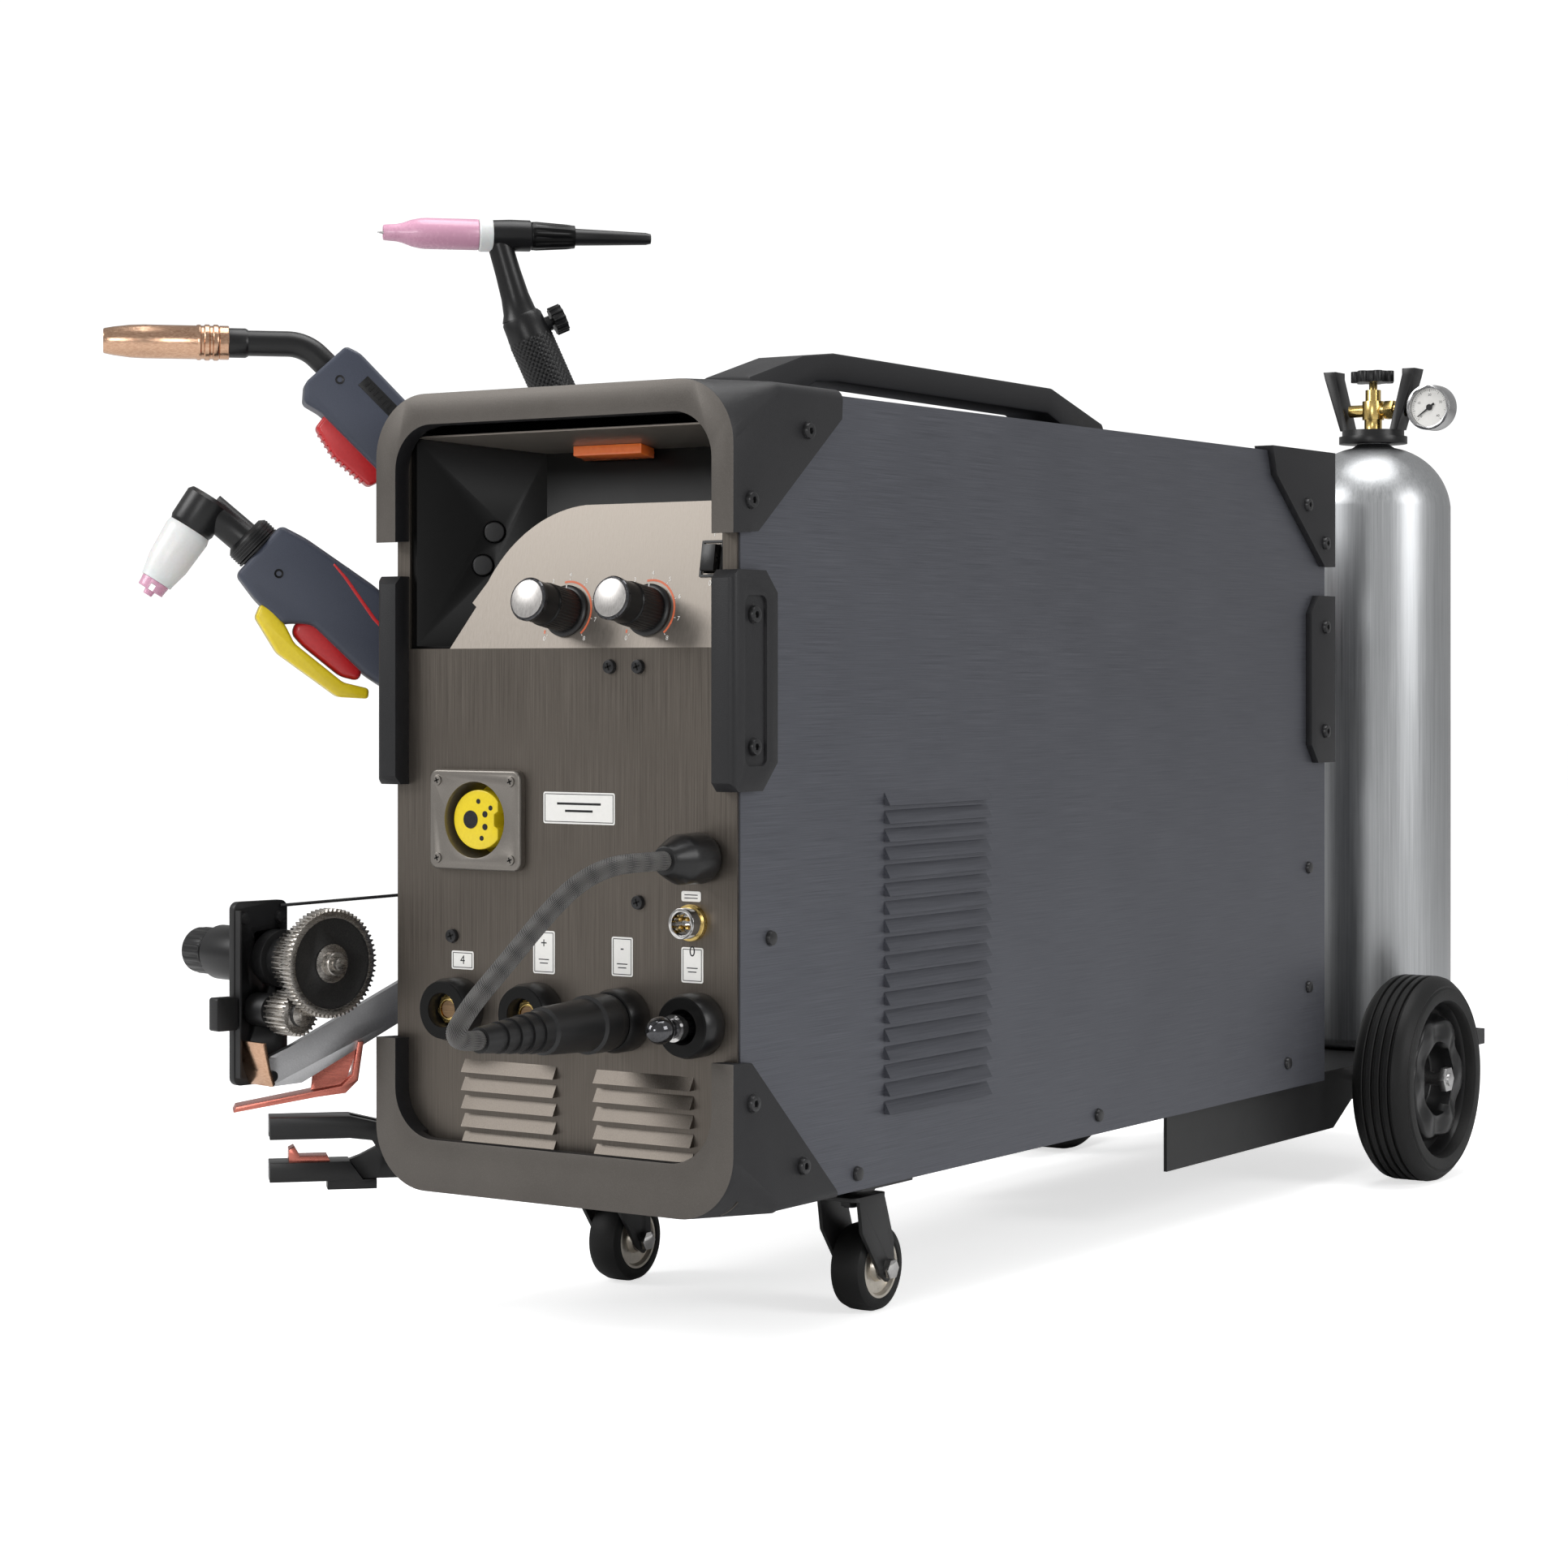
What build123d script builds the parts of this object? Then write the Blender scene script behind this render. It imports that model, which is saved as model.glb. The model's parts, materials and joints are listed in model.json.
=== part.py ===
from build123d import *
import math
import os

# MIG welder on a wheeled chassis, with its torches, wire drive and gas cylinder.
# Millimetres. +Z is up, the control face looks along -Y, +X is the louvred side
# on the viewer's right. The origin is the floor point below the front panel.

os.makedirs("parts", exist_ok=True)

# ---- driving dimensions: housing
body_width = 300.0
body_length = 925.0
body_bottom = 100.0
body_top = 660.0
sheet = 1.5
front_sheet = 2.0
corner_block = 40.0
panel_split = 483.0

# ---- driving dimensions: bumpers and guards
guard_side = 6.0
guard_front = 15.0
guard_top = 4.0
bumper_radius = 45.0
bezel_width = 18.0
fit_gap = 0.3
run_gap = 0.05
pivot_bore = 1.0

# ---- driving dimensions: controls
fascia_lean = 10.0
knob_radius = 13.5
knob_length = 46.0
socket_radius = 22.0
socket_reach = 20.0
socket_z = 228.0
socket_x = (-91.0, -20.0, 55.0, 117.0)
contact_bore = 6.5
flange_x = -73.0
flange_z = 362.0
flange_width = 82.0
flange_height = 71.0
flange_bore = 27.0
guide_bore = 5.0

# ---- driving dimensions: running gear
wheel_radius = 94.0
wheel_width = 56.0
wheel_x = 190.0
axle_y = 1040.0
axle_radius = 6.0
caster_radius = 32.0
caster_width = 28.0
caster_x = 110.0
caster_y = 200.0
caster_trail = 22.0
tray_end = 1292.0
tray_sheet = 3.0
skirt_drop = 50.0
cylinder_radius = 74.5
cylinder_x = 75.0
cylinder_y = 1200.0
cylinder_shoulder = 628.0
cylinder_top = 690.0
cylinder_wall = 6.0

# ---- driving dimensions: wire drive, torches, lead
gear_module = 1.2
gear_teeth = 64
helical_teeth = 40
pinion_teeth = 26
drive_turn = 12.0
lead_diameter = 13.0
boot_x = 121.5
boot_z = 341.0
boot_reach = 46.0
plug_reach = 158.0

half_width = body_width / 2
inner_x = half_width - sheet
guard_x = half_width + guard_side
bezel_x = guard_x - bezel_width
rear_y = body_length - sheet


def y_plane(y):
    """A plane facing -Y at this y; local x is +X and local y is +Z."""
    return Plane.XZ.offset(-y)


def axis_plane(point, direction, across=(0, 0, 1)):
    """A plane at a point whose normal is the direction of a shaft."""
    return Plane(origin=point, x_dir=Vector(*direction).cross(Vector(*across)), z_dir=direction)


def save(name, *pieces):
    """One file for a node: a single solid, or several separate solids that share it."""
    node = pieces[0] if len(pieces) == 1 else Compound(children=list(pieces))
    node.label = name
    export_step(node, f"parts/{name}.step")


# ---- sheet-metal housing
louvre_pitch = 13.0
louvre_count = 18
louvre_low = 150.0
louvre_start = 183.0
louvre_length = 144.0
louvre_rise = 9.5
louvre_proud = 5.0
panel_low = body_bottom
panel_high = body_top - sheet
corner_inset = 20.0
block_high = body_top - corner_inset
block_low = body_bottom + corner_inset

with BuildPart() as side_panel_right:
    with BuildSketch(Plane.YZ.offset(inner_x)):
        with BuildLine():
            Polyline(
                (corner_block, panel_low), (rear_y, panel_low), (rear_y, panel_high),
                (corner_block, panel_high), (corner_block, block_high),
                (front_sheet, block_high), (front_sheet, block_low),
                (corner_block, block_low), close=True,
            )
        make_face()
    extrude(amount=sheet)
    with BuildSketch(y_plane(louvre_start + louvre_length)):
        for row in range(louvre_count):
            z = louvre_low + row * louvre_pitch
            with BuildLine():
                Polyline(
                    (inner_x, z), (half_width + louvre_proud, z),
                    (half_width, z + louvre_rise), (inner_x, z + louvre_rise), close=True,
                )
            make_face()
    extrude(amount=louvre_length)
    with BuildSketch(y_plane(louvre_start + louvre_length - sheet)):
        for row in range(louvre_count):
            z = louvre_low + row * louvre_pitch
            with BuildLine():
                Polyline(
                    (inner_x - 1, z - 0.01), (half_width + louvre_proud - sheet, z - 0.01),
                    (inner_x, z + louvre_rise - sheet), (inner_x - 1, z + louvre_rise - sheet),
                    close=True,
                )
            make_face()
    extrude(amount=louvre_length - 2 * sheet, mode=Mode.SUBTRACT)

with BuildPart() as side_panel_left:
    add(side_panel_right.part)
    mirror(about=Plane.YZ, mode=Mode.REPLACE)

roof_slot_count = 16
roof_slot_pitch = 28.0
vent_y = 470.0

with BuildPart() as roof_panel:
    with BuildSketch(Plane.XY.offset(panel_high)):
        with BuildLine():
            Polyline(
                (-half_width, corner_block), (-half_width, rear_y), (half_width, rear_y),
                (half_width, corner_block), (half_width - corner_inset, corner_block),
                (half_width - corner_inset, front_sheet),
                (corner_inset - half_width, front_sheet),
                (corner_inset - half_width, corner_block), close=True,
            )
        make_face()
        with Locations((0, vent_y)):
            with GridLocations(1, roof_slot_pitch, 1, roof_slot_count):
                SlotOverall(70, 8, mode=Mode.SUBTRACT)
    extrude(amount=sheet)
save("roof_panel", roof_panel.part)

with BuildPart() as base_pan:
    with BuildSketch(Plane.XY.offset(body_bottom)):
        with BuildLine():
            Polyline(
                (-inner_x, corner_block), (-inner_x, rear_y), (inner_x, rear_y),
                (inner_x, corner_block), (inner_x - corner_inset, corner_block),
                (inner_x - corner_inset, front_sheet), (corner_inset - inner_x, front_sheet),
                (corner_inset - inner_x, corner_block), close=True,
            )
        make_face()
    extrude(amount=2)
    for side in (-1, 1):
        with BuildSketch(Plane.XY.offset(body_bottom)):
            with Locations((side * (inner_x - sheet / 2), (corner_block + rear_y) / 2)):
                Rectangle(sheet, rear_y - corner_block)
        extrude(amount=18)
save("base_pan", base_pan.part)

front_louvre_z = [132.0 + 12.8 * n for n in range(5)]
front_louvre_span = ((-86.0, -4.0), (31.0, 113.0))
boot_bore = 8.0
connector_x = 111.7
connector_z = 296.7
connector_radius = 10.5
recess_x = bezel_x - 1.0

with BuildPart() as front_panel:
    with BuildSketch(y_plane(front_sheet)):
        with BuildLine():
            Polyline(
                (-inner_x, body_bottom + corner_block), (corner_block - inner_x, body_bottom),
                (inner_x - corner_block, body_bottom), (inner_x, body_bottom + corner_block),
                (inner_x, block_high), (recess_x, block_high), (recess_x, panel_split),
                (-recess_x, panel_split), (-recess_x, block_high), (-inner_x, block_high),
                close=True,
            )
        make_face()
        with Locations((flange_x, flange_z)):
            Circle(flange_bore + 2, mode=Mode.SUBTRACT)
        with Locations(*[(x, socket_z) for x in socket_x]):
            Circle(socket_radius - 4, mode=Mode.SUBTRACT)
        with Locations((boot_x, boot_z)):
            Circle(boot_bore, mode=Mode.SUBTRACT)
        with Locations((connector_x, connector_z)):
            Circle(connector_radius - 2, mode=Mode.SUBTRACT)
    extrude(amount=front_sheet)
    for x_low, x_high in front_louvre_span:
        with BuildSketch(Plane.YZ.offset(x_low)):
            for z in front_louvre_z:
                with BuildLine():
                    Polyline((front_sheet, z), (-5, z), (0, z + 9), (front_sheet, z + 9), close=True)
                make_face()
        extrude(amount=x_high - x_low)
        with BuildSketch(Plane.YZ.offset(x_low + sheet)):
            for z in front_louvre_z:
                with BuildLine():
                    Polyline(
                        (front_sheet + 1, z - 0.01), (-3.4, z - 0.01), (front_sheet, z + 7.5),
                        (front_sheet + 1, z + 7.5), close=True,
                    )
                make_face()
        extrude(amount=x_high - x_low - 2 * sheet, mode=Mode.SUBTRACT)
save("front_panel", front_panel.part)

fan_x = 60.0
fan_z = 430.0
fan_size = 120.0
switch_x = -80.0
switch_z = 560.0
switch_wide = 22.0
switch_half = 14.0
inlet_x = -80.0
inlet_z = 480.0
gas_inlet_z = 400.0

with BuildPart() as rear_panel:
    with BuildSketch(y_plane(body_length)):
        with Locations((0, (body_bottom + body_top) / 2)):
            Rectangle(body_width, body_top - body_bottom)
        for ring in range(4):
            for quarter in range(4):
                start = 90 * quarter + 9
                inner = 12 + ring * 11
                with BuildLine():
                    arc_in = CenterArc((fan_x, fan_z), inner, start, 72)
                    arc_out = CenterArc((fan_x, fan_z), inner + 7, start, 72)
                    Line(arc_in @ 0, arc_out @ 0)
                    Line(arc_in @ 1, arc_out @ 1)
                make_face(mode=Mode.SUBTRACT)
        with Locations((switch_x, switch_z)):
            Rectangle(switch_wide, 2 * switch_half + 1.4, mode=Mode.SUBTRACT)
        with Locations((inlet_x, inlet_z)):
            Circle(11, mode=Mode.SUBTRACT)
        with Locations((inlet_x, gas_inlet_z)):
            Circle(6, mode=Mode.SUBTRACT)
    extrude(amount=sheet)
save("rear_panel", rear_panel.part)

# ---- bumpers: an outer shape that rounds towards the front, less the housing
lip_top = 642.0
hood_low = 559.0
ear_length = 120.0
lower_low = body_bottom - 2.0
lower_inner = 135.0
lower_top = 205.0
lower_ear = 113.0


def bumper_shell(z_low, z_high, corner_z):
    """The rounded outer shape: large corners at the front, tight ones at corner_block."""
    with BuildPart() as shell:
        for y, radius in ((-guard_front, bumper_radius), (corner_block, 8.0)):
            with BuildSketch(y_plane(y)):
                with Locations((0, (z_low + z_high) / 2)):
                    RectangleRounded(2 * guard_x, z_high - z_low, radius)
        loft()
        with BuildSketch(y_plane(ear_length + 10)):
            with Locations((0, (z_low + z_high) / 2)):
                RectangleRounded(2 * guard_x, z_high - z_low, 8.0)
        extrude(amount=ear_length + 10 - corner_block)
    return shell.part


hood_top = body_top + guard_top
hood_shell = bumper_shell(hood_top - 300, hood_top, hood_top)
lower_shell = bumper_shell(lower_low, lower_low + 300, lower_low)

with BuildPart() as hood_bumper:
    add(hood_shell)
    with BuildSketch(Plane.YZ.offset(-guard_x - 1)):
        with BuildLine():
            Polyline(
                (-guard_front - 1, hood_low), (15, hood_low + 2), (118.6, 643),
                (ear_length, hood_top + 1), (-guard_front - 1, hood_top + 1), close=True,
            )
        make_face()
    extrude(amount=2 * guard_x + 2, mode=Mode.INTERSECT)
    with BuildSketch(y_plane(front_sheet)):
        with Locations((0, lip_top - 150)):
            RectangleRounded(2 * bezel_x, 300, 32)
    extrude(amount=guard_front + front_sheet + 1, mode=Mode.SUBTRACT)
    with BuildSketch(Plane.XY.offset(body_bottom)):
        with Locations((0, 0), (0, corner_block)):
            Rectangle(2 * half_width, 200, align=(Align.CENTER, Align.MIN))
    extrude(amount=block_high - body_bottom, mode=Mode.SUBTRACT)
    with BuildSketch(y_plane(ear_length + 20)):
        with Locations((0, body_top - 100)):
            Rectangle(2 * half_width, 200)
    extrude(amount=ear_length + 20 - corner_block, mode=Mode.SUBTRACT)
    with BuildSketch(y_plane(corner_block)):
        with Locations((0, body_top - 100)):
            Rectangle(2 * (half_width - corner_inset), 200)
    extrude(amount=corner_block - front_sheet, mode=Mode.SUBTRACT)

with BuildPart() as lower_bumper:
    add(lower_shell)
    with BuildSketch(Plane.YZ.offset(-guard_x - 1)):
        with BuildLine():
            Polyline(
                (-guard_front - 1, lower_low - 1), (lower_ear + 5, lower_low - 1),
                (lower_ear, 104), (7, lower_top - 1), (-guard_front - 1, lower_top), close=True,
            )
        make_face()
    extrude(amount=2 * guard_x + 2, mode=Mode.INTERSECT)
    with BuildSketch(y_plane(0)):
        with Locations((0, lower_inner + 100)):
            RectangleRounded(2 * bezel_x, 200, 35)
    extrude(amount=guard_front + 1, mode=Mode.SUBTRACT)
    with BuildSketch(y_plane(0)):
        with Locations((0, lower_inner)):
            Rectangle(240, 10)
    extrude(amount=6, mode=Mode.SUBTRACT)
    with BuildSketch(Plane.XY.offset(block_low)):
        with Locations((0, 0)):
            Rectangle(2 * half_width, 200, align=(Align.CENTER, Align.MIN))
    extrude(amount=200, mode=Mode.SUBTRACT)
    with BuildSketch(y_plane(lower_ear + 20)):
        with Locations((0, body_bottom + 100)):
            Rectangle(2 * half_width, 200)
    extrude(amount=lower_ear + 20 - corner_block, mode=Mode.SUBTRACT)
    with BuildSketch(y_plane(corner_block)):
        with Locations((0, body_bottom + 100)):
            Rectangle(2 * (half_width - corner_inset), 200)
    extrude(amount=corner_block, mode=Mode.SUBTRACT)
    with BuildSketch(y_plane(front_sheet)):
        with Locations((0, body_bottom + 100)):
            Rectangle(2 * inner_x, 200)
    extrude(amount=front_sheet, mode=Mode.SUBTRACT)
    with BuildSketch(Plane.XY.offset(lower_low - 1)):
        with Locations((0, corner_block)):
            Rectangle(2 * guard_x + 2, 200, align=(Align.CENTER, Align.MIN))
    extrude(amount=body_bottom - lower_low + 1, mode=Mode.SUBTRACT)

mid_low = 386.0
mid_high = 535.0
mid_back = 38.0


def mirrored(part):
    """A part together with its twin on the other side of the machine."""
    with BuildPart() as both:
        add(part)
        mirror(about=Plane.YZ)
    return both.part


with BuildPart() as mid_guard:
    with BuildSketch(Plane.YZ.offset(bezel_x)):
        with BuildLine():
            Polyline(
                (-guard_front, mid_low + 6), (-guard_front + 6, mid_low), (mid_back - 18, mid_low),
                (mid_back, mid_low + 19), (mid_back, mid_high - 15), (mid_back - 14, mid_high),
                (-guard_front + 6, mid_high), (-guard_front, mid_high - 6), close=True,
            )
        make_face()
    extrude(amount=bezel_width)
    with BuildSketch(Plane.XY.offset(mid_low - 1)):
        Rectangle(half_width, 100, align=(Align.MIN, Align.MIN))
    extrude(amount=mid_high - mid_low + 2, mode=Mode.SUBTRACT)
    corner = mid_guard.edges().filter_by(Axis.Z).group_by(Axis.Y)[0].sort_by(Axis.X)[-1]
    fillet(corner, 5)
    with BuildSketch(Plane.YZ.offset(guard_x)):
        with Locations((12, (mid_low + mid_high) / 2)):
            RectangleRounded(26, mid_high - mid_low - 34, 6)
    extrude(amount=-2.5, mode=Mode.SUBTRACT)
front_side_guards_pair = mirrored(mid_guard.part)

rear_guard_y = (886.0, 939.0)
rear_proud = rear_guard_y[1] - body_length

with BuildPart() as rear_guard:
    with BuildSketch(Plane.YZ.offset(bezel_x)):
        with BuildLine():
            Polyline(
                (807, hood_top), (815, 639), (913, 561.5), (rear_guard_y[1], 561.5),
                (rear_guard_y[1], hood_top), close=True,
            )
        make_face()
        with BuildLine():
            Polyline(
                (rear_guard_y[0], mid_low + 16), (rear_guard_y[0] + 14, mid_low),
                (rear_guard_y[1], mid_low), (rear_guard_y[1], mid_high),
                (rear_guard_y[0] + 14, mid_high), (rear_guard_y[0], mid_high - 16), close=True,
            )
        make_face()
    extrude(amount=bezel_width)
    with BuildSketch(Plane.XY):
        with Locations((0, body_length)):
            Rectangle(half_width, 400, align=(Align.MIN, Align.MAX))
    extrude(amount=body_top, mode=Mode.SUBTRACT)
    back_edges = rear_guard.edges().filter_by(Axis.Z).filter_by_position(Axis.Y, rear_guard_y[1] - 1, 999)
    fillet(back_edges.group_by(Axis.X)[-1], 5)
rear_guards_pair = mirrored(rear_guard.part)

# ---- recess behind the hood, ceiling, fascia
recess_depth = 62.0
recess_wall = 2.0
ceiling_front = 634.0
ceiling_back = 623.0
slant_x = -60.0
slant_angle = math.degrees(math.atan2(recess_depth - front_sheet, slant_x + recess_x))
slant_face = (math.sin(math.radians(slant_angle)), -math.cos(math.radians(slant_angle)), 0)
button_radius = 7.5
button_points = ((-90.0, 38.3, 567.0), (-96.5, 33.2, 543.0))

with BuildPart() as control_recess:
    with BuildSketch(Plane.XY.offset(panel_split)):
        with BuildLine():
            Polyline(
                (-recess_x, front_sheet), (slant_x, recess_depth), (recess_x, recess_depth),
                (recess_x, front_sheet), close=True,
            )
        make_face()
    extrude(amount=ceiling_front - panel_split)
    with BuildSketch(Plane.XY.offset(panel_split + recess_wall)):
        with BuildLine():
            Polyline(
                (-recess_x + 3.6, front_sheet - 1), (slant_x + 0.7, recess_depth - recess_wall),
                (recess_x - recess_wall, recess_depth - recess_wall),
                (recess_x - recess_wall, front_sheet - 1), close=True,
            )
        make_face()
    extrude(amount=ceiling_front, mode=Mode.SUBTRACT)
    with BuildSketch(Plane.YZ.offset(-200)):
        with BuildLine():
            Polyline(
                (front_sheet - 1, ceiling_front), (recess_depth + 1, ceiling_back),
                (recess_depth + 1, 700), (front_sheet - 1, 700), close=True,
            )
        make_face()
    extrude(amount=400, mode=Mode.SUBTRACT)
    for point in button_points:
        with BuildSketch(axis_plane(point, slant_face)):
            Circle(button_radius + fit_gap)
        extrude(amount=12, both=True, mode=Mode.SUBTRACT)

ceiling_slope = (ceiling_front - ceiling_back) / (recess_depth - front_sheet)
lens_length = 60.0

with BuildPart() as hood_ceiling:
    with BuildSketch(Plane.YZ.offset(-recess_x)):
        with BuildLine():
            Polyline(
                (front_sheet, ceiling_front), (recess_depth, ceiling_back),
                (recess_depth, ceiling_back + sheet), (front_sheet, ceiling_front + sheet), close=True,
            )
        make_face()
    extrude(amount=2 * recess_x)

with BuildPart() as status_lens:
    with BuildSketch(Plane.YZ.offset(-22)):
        with BuildLine():
            Polyline(
                (42, ceiling_back + ceiling_slope * (recess_depth - 42)),
                (58, ceiling_back + ceiling_slope * (recess_depth - 58)), (58, 616.5), (42, 619.5),
                close=True,
            )
        make_face()
    extrude(amount=lens_length)
save("status_lens", status_lens.part)

lean = math.radians(fascia_lean)
fascia_plane = Plane(
    origin=(0, 0, panel_split), x_dir=(1, 0, 0), z_dir=(0, -math.cos(lean), math.sin(lean))
)
knob_places = ((1.5, 26.0), (72.5, 26.0))
rocker_place = (121.0, 61.0)
fascia_high = 101.5
spindle_radius = 3.0

with BuildPart() as control_panel:
    with BuildSketch(fascia_plane):
        with BuildLine():
            Polyline(
                (8, fascia_high), (recess_x - recess_wall, fascia_high),
                (recess_x - recess_wall, 0), (-100, 0), (-80, 30), (-84, 33), (-72, 48),
            )
            ThreePointArc((-72, 48), (-38, 86), (8, fascia_high))
        make_face()
        with Locations(*knob_places):
            Circle(spindle_radius + 1, mode=Mode.SUBTRACT)
        with Locations(rocker_place):
            Rectangle(13, 20, mode=Mode.SUBTRACT)
    extrude(amount=-front_sheet)
    with BuildSketch(Plane.XY.offset(panel_split)):
        Rectangle(body_width, 60)
    extrude(amount=-5, mode=Mode.SUBTRACT)
    with BuildSketch(Plane.XY.offset(panel_split)):
        with Locations((0, front_sheet)):
            Rectangle(body_width, 20, align=(Align.CENTER, Align.MIN))
    extrude(amount=recess_wall, mode=Mode.SUBTRACT)

for name, place in zip(("current_knob", "voltage_knob"), knob_places):
    with BuildPart() as knob:
        with BuildSketch(fascia_plane.offset(0.5)):
            with Locations(place):
                Circle(knob_radius + 2.5)
        extrude(amount=3)
        with BuildSketch(fascia_plane.offset(3.5)):
            with Locations(place):
                Circle(knob_radius)
        extrude(amount=knob_length - 4.5)
        chamfer(knob.faces().sort_by(Axis((0, 0, 0), fascia_plane.z_dir))[-1].edges(), 1)
        with BuildSketch(fascia_plane.offset(knob_length - 1)):
            with Locations(place):
                Circle(knob_radius - 1.5)
        extrude(amount=1)
        with BuildSketch(fascia_plane.offset(0.5)):
            with Locations(place):
                Circle(spindle_radius)
        extrude(amount=-14)
    save(name, knob.part)

with BuildPart() as mode_switch:
    rocker_center = fascia_plane.from_local_coords((rocker_place[0], rocker_place[1], 0))
    with BuildSketch(Plane(origin=rocker_center, x_dir=fascia_plane.y_dir, z_dir=(-1, 0, 0))):
        with BuildLine():
            Polyline((-9, -6), (-9, 2.4), (0, 1.0), (9, 2.4), (9, -6), close=True)
        make_face()
        with Locations((0, -2)):
            Circle(pivot_bore, mode=Mode.SUBTRACT)
    extrude(amount=5.5, both=True)
save("mode_switch", mode_switch.part)

for name, point in zip(("jog_button_upper", "jog_button_lower"), button_points):
    with BuildPart() as button:
        with BuildSketch(axis_plane(point, slant_face).offset(2.6)):
            Circle(button_radius)
        extrude(amount=3)
        fillet(button.faces().sort_by(Axis(point, slant_face))[-1].edges(), 1.2)
        with BuildSketch(axis_plane(point, slant_face).offset(2.6)):
            Circle(button_radius - 1.3)
        extrude(amount=-9)
    save(name, button.part)

# ---- front connectors
plate_corner = 7.0
flange_screw = (flange_width / 2 - 8, flange_height / 2 - 8)

with BuildPart() as euro_flange:
    with BuildSketch(y_plane(0)):
        with Locations((flange_x, flange_z)):
            RectangleRounded(flange_width, flange_height, plate_corner)
    extrude(amount=6)
    fillet(euro_flange.faces().sort_by(Axis.Y)[0].outer_wire().edges(), 2)
    with BuildSketch(y_plane(front_sheet)):
        with Locations((flange_x, flange_z)):
            Circle(flange_bore)
    extrude(amount=12, mode=Mode.SUBTRACT)
    with BuildSketch(y_plane(front_sheet + 30)):
        with Locations((flange_x, flange_z)):
            Circle(flange_bore + 1.9)
            Circle(flange_bore, mode=Mode.SUBTRACT)
    extrude(amount=30 + front_sheet)
    for sx in (-1, 1):
        for sz in (-1, 1):
            with BuildSketch(y_plane(-6)):
                with Locations((flange_x + sx * flange_screw[0], flange_z + sz * flange_screw[1])):
                    Circle(3.6)
            extrude(amount=1.6)
save("euro_flange", euro_flange.part)

with BuildPart() as euro_insulator:
    with BuildSketch(y_plane(front_sheet + 30)):
        with Locations((flange_x, flange_z)):
            Circle(flange_bore)
    extrude(amount=6)
    with BuildSketch(y_plane(front_sheet + 24)):
        with Locations((flange_x, flange_z)):
            RectangleRounded(32, 40, 12)
    extrude(amount=27)
    with BuildSketch(y_plane(front_sheet + 31)):
        with Locations((flange_x, flange_z)):
            Circle(guide_bore)
        with Locations((flange_x - 8, flange_z + 11), (flange_x + 9, flange_z + 2)):
            Circle(2.4)
    extrude(amount=40, mode=Mode.SUBTRACT)
    with BuildSketch(y_plane(0)):
        with Locations((flange_x - 11, flange_z)):
            Rectangle(12, 5)
        with Locations((flange_x + 8, flange_z - 12)):
            Rectangle(5, 9)
    extrude(amount=6, mode=Mode.SUBTRACT)
save("euro_insulator", euro_insulator.part)

socket_depth = 26.0
socket_bore = 12.0

with BuildPart() as socket_shells:
    for x in socket_x:
        with BuildSketch(y_plane(0)):
            with Locations((x, socket_z)):
                Circle(socket_radius)
        extrude(amount=socket_reach - 6)
        with BuildSketch(y_plane(6 - socket_reach)):
            with Locations((x, socket_z)):
                Circle(socket_radius)
        extrude(amount=6, taper=18)
        with BuildSketch(y_plane(socket_depth)):
            with Locations((x, socket_z)):
                Circle(socket_radius - 4 - run_gap)
        extrude(amount=socket_depth)
        with BuildSketch(y_plane(socket_depth - 3)):
            with Locations((x, socket_z)):
                Circle(socket_bore)
        extrude(amount=socket_depth + socket_reach, mode=Mode.SUBTRACT)

hex_flats = 10.0

with BuildPart() as socket_contacts:
    for x in socket_x[:2]:
        with BuildSketch(y_plane(socket_depth - 3)):
            with Locations((x, socket_z)):
                RegularPolygon(hex_flats, 6, major_radius=False)
                Circle(contact_bore, mode=Mode.SUBTRACT)
        extrude(amount=socket_depth + 7)
save("socket_contacts", socket_contacts.part)

plug_x = socket_x[2]
plug_collar = socket_reach + 0.5

with BuildPart() as lead_plug:
    with BuildSketch(Plane(origin=(plug_x, 0, socket_z), x_dir=(0, -1, 0), z_dir=(1, 0, 0))):
        with BuildLine():
            Polyline(
                (3 - socket_depth, 0), (3 - socket_depth, 6), (-2, 6), (-2, socket_bore - fit_gap),
                (plug_collar, socket_bore - fit_gap), (plug_collar, 19), (28, 20), (44, 20),
                (46, 18), (92, 16), (94, 14), (104, 14), (104, 12.5), (109, 12.5), (109, 13.2),
                (115, 13), (115, 11.4), (120, 11.4), (120, 12.2), (127, 11.8), (127, 10.4),
                (132, 10.4), (132, 11), (139, 10.6), (139, 9.2), (144, 9.2), (144, 9.8),
                (plug_reach, 8.6), (plug_reach, 0), close=True,
            )
        make_face()
    revolve(axis=Axis((plug_x, 0, socket_z), (0, -1, 0)))
save("lead_plug", lead_plug.part)

with BuildPart() as lead_boot:
    with BuildSketch(Plane(origin=(boot_x, 0, boot_z), x_dir=(0, -1, 0), z_dir=(1, 0, 0))):
        with BuildLine():
            Polyline(
                (-14, 0), (-14, boot_bore - run_gap), (0, boot_bore - run_gap), (0, 15), (5, 15),
                (5, 17.5), (28, 17), (36, 14), (boot_reach, 9.5), (boot_reach, 0), close=True,
            )
        make_face()
    revolve(axis=Axis((boot_x, 0, boot_z), (0, -1, 0)))

# The lead arches forward out of its boot, drops, and folds back into its plug.
lead_route = [
    (boot_x, -boot_reach, boot_z), (121.5, -70, 341), (115, -95, 340), (104, -116, 330),
    (93.5, -133, 312), (86, -150, 293), (79.5, -168, 274), (70, -187, 252),
    (plug_x, -189, socket_z), (plug_x, -plug_reach, socket_z),
]


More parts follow.
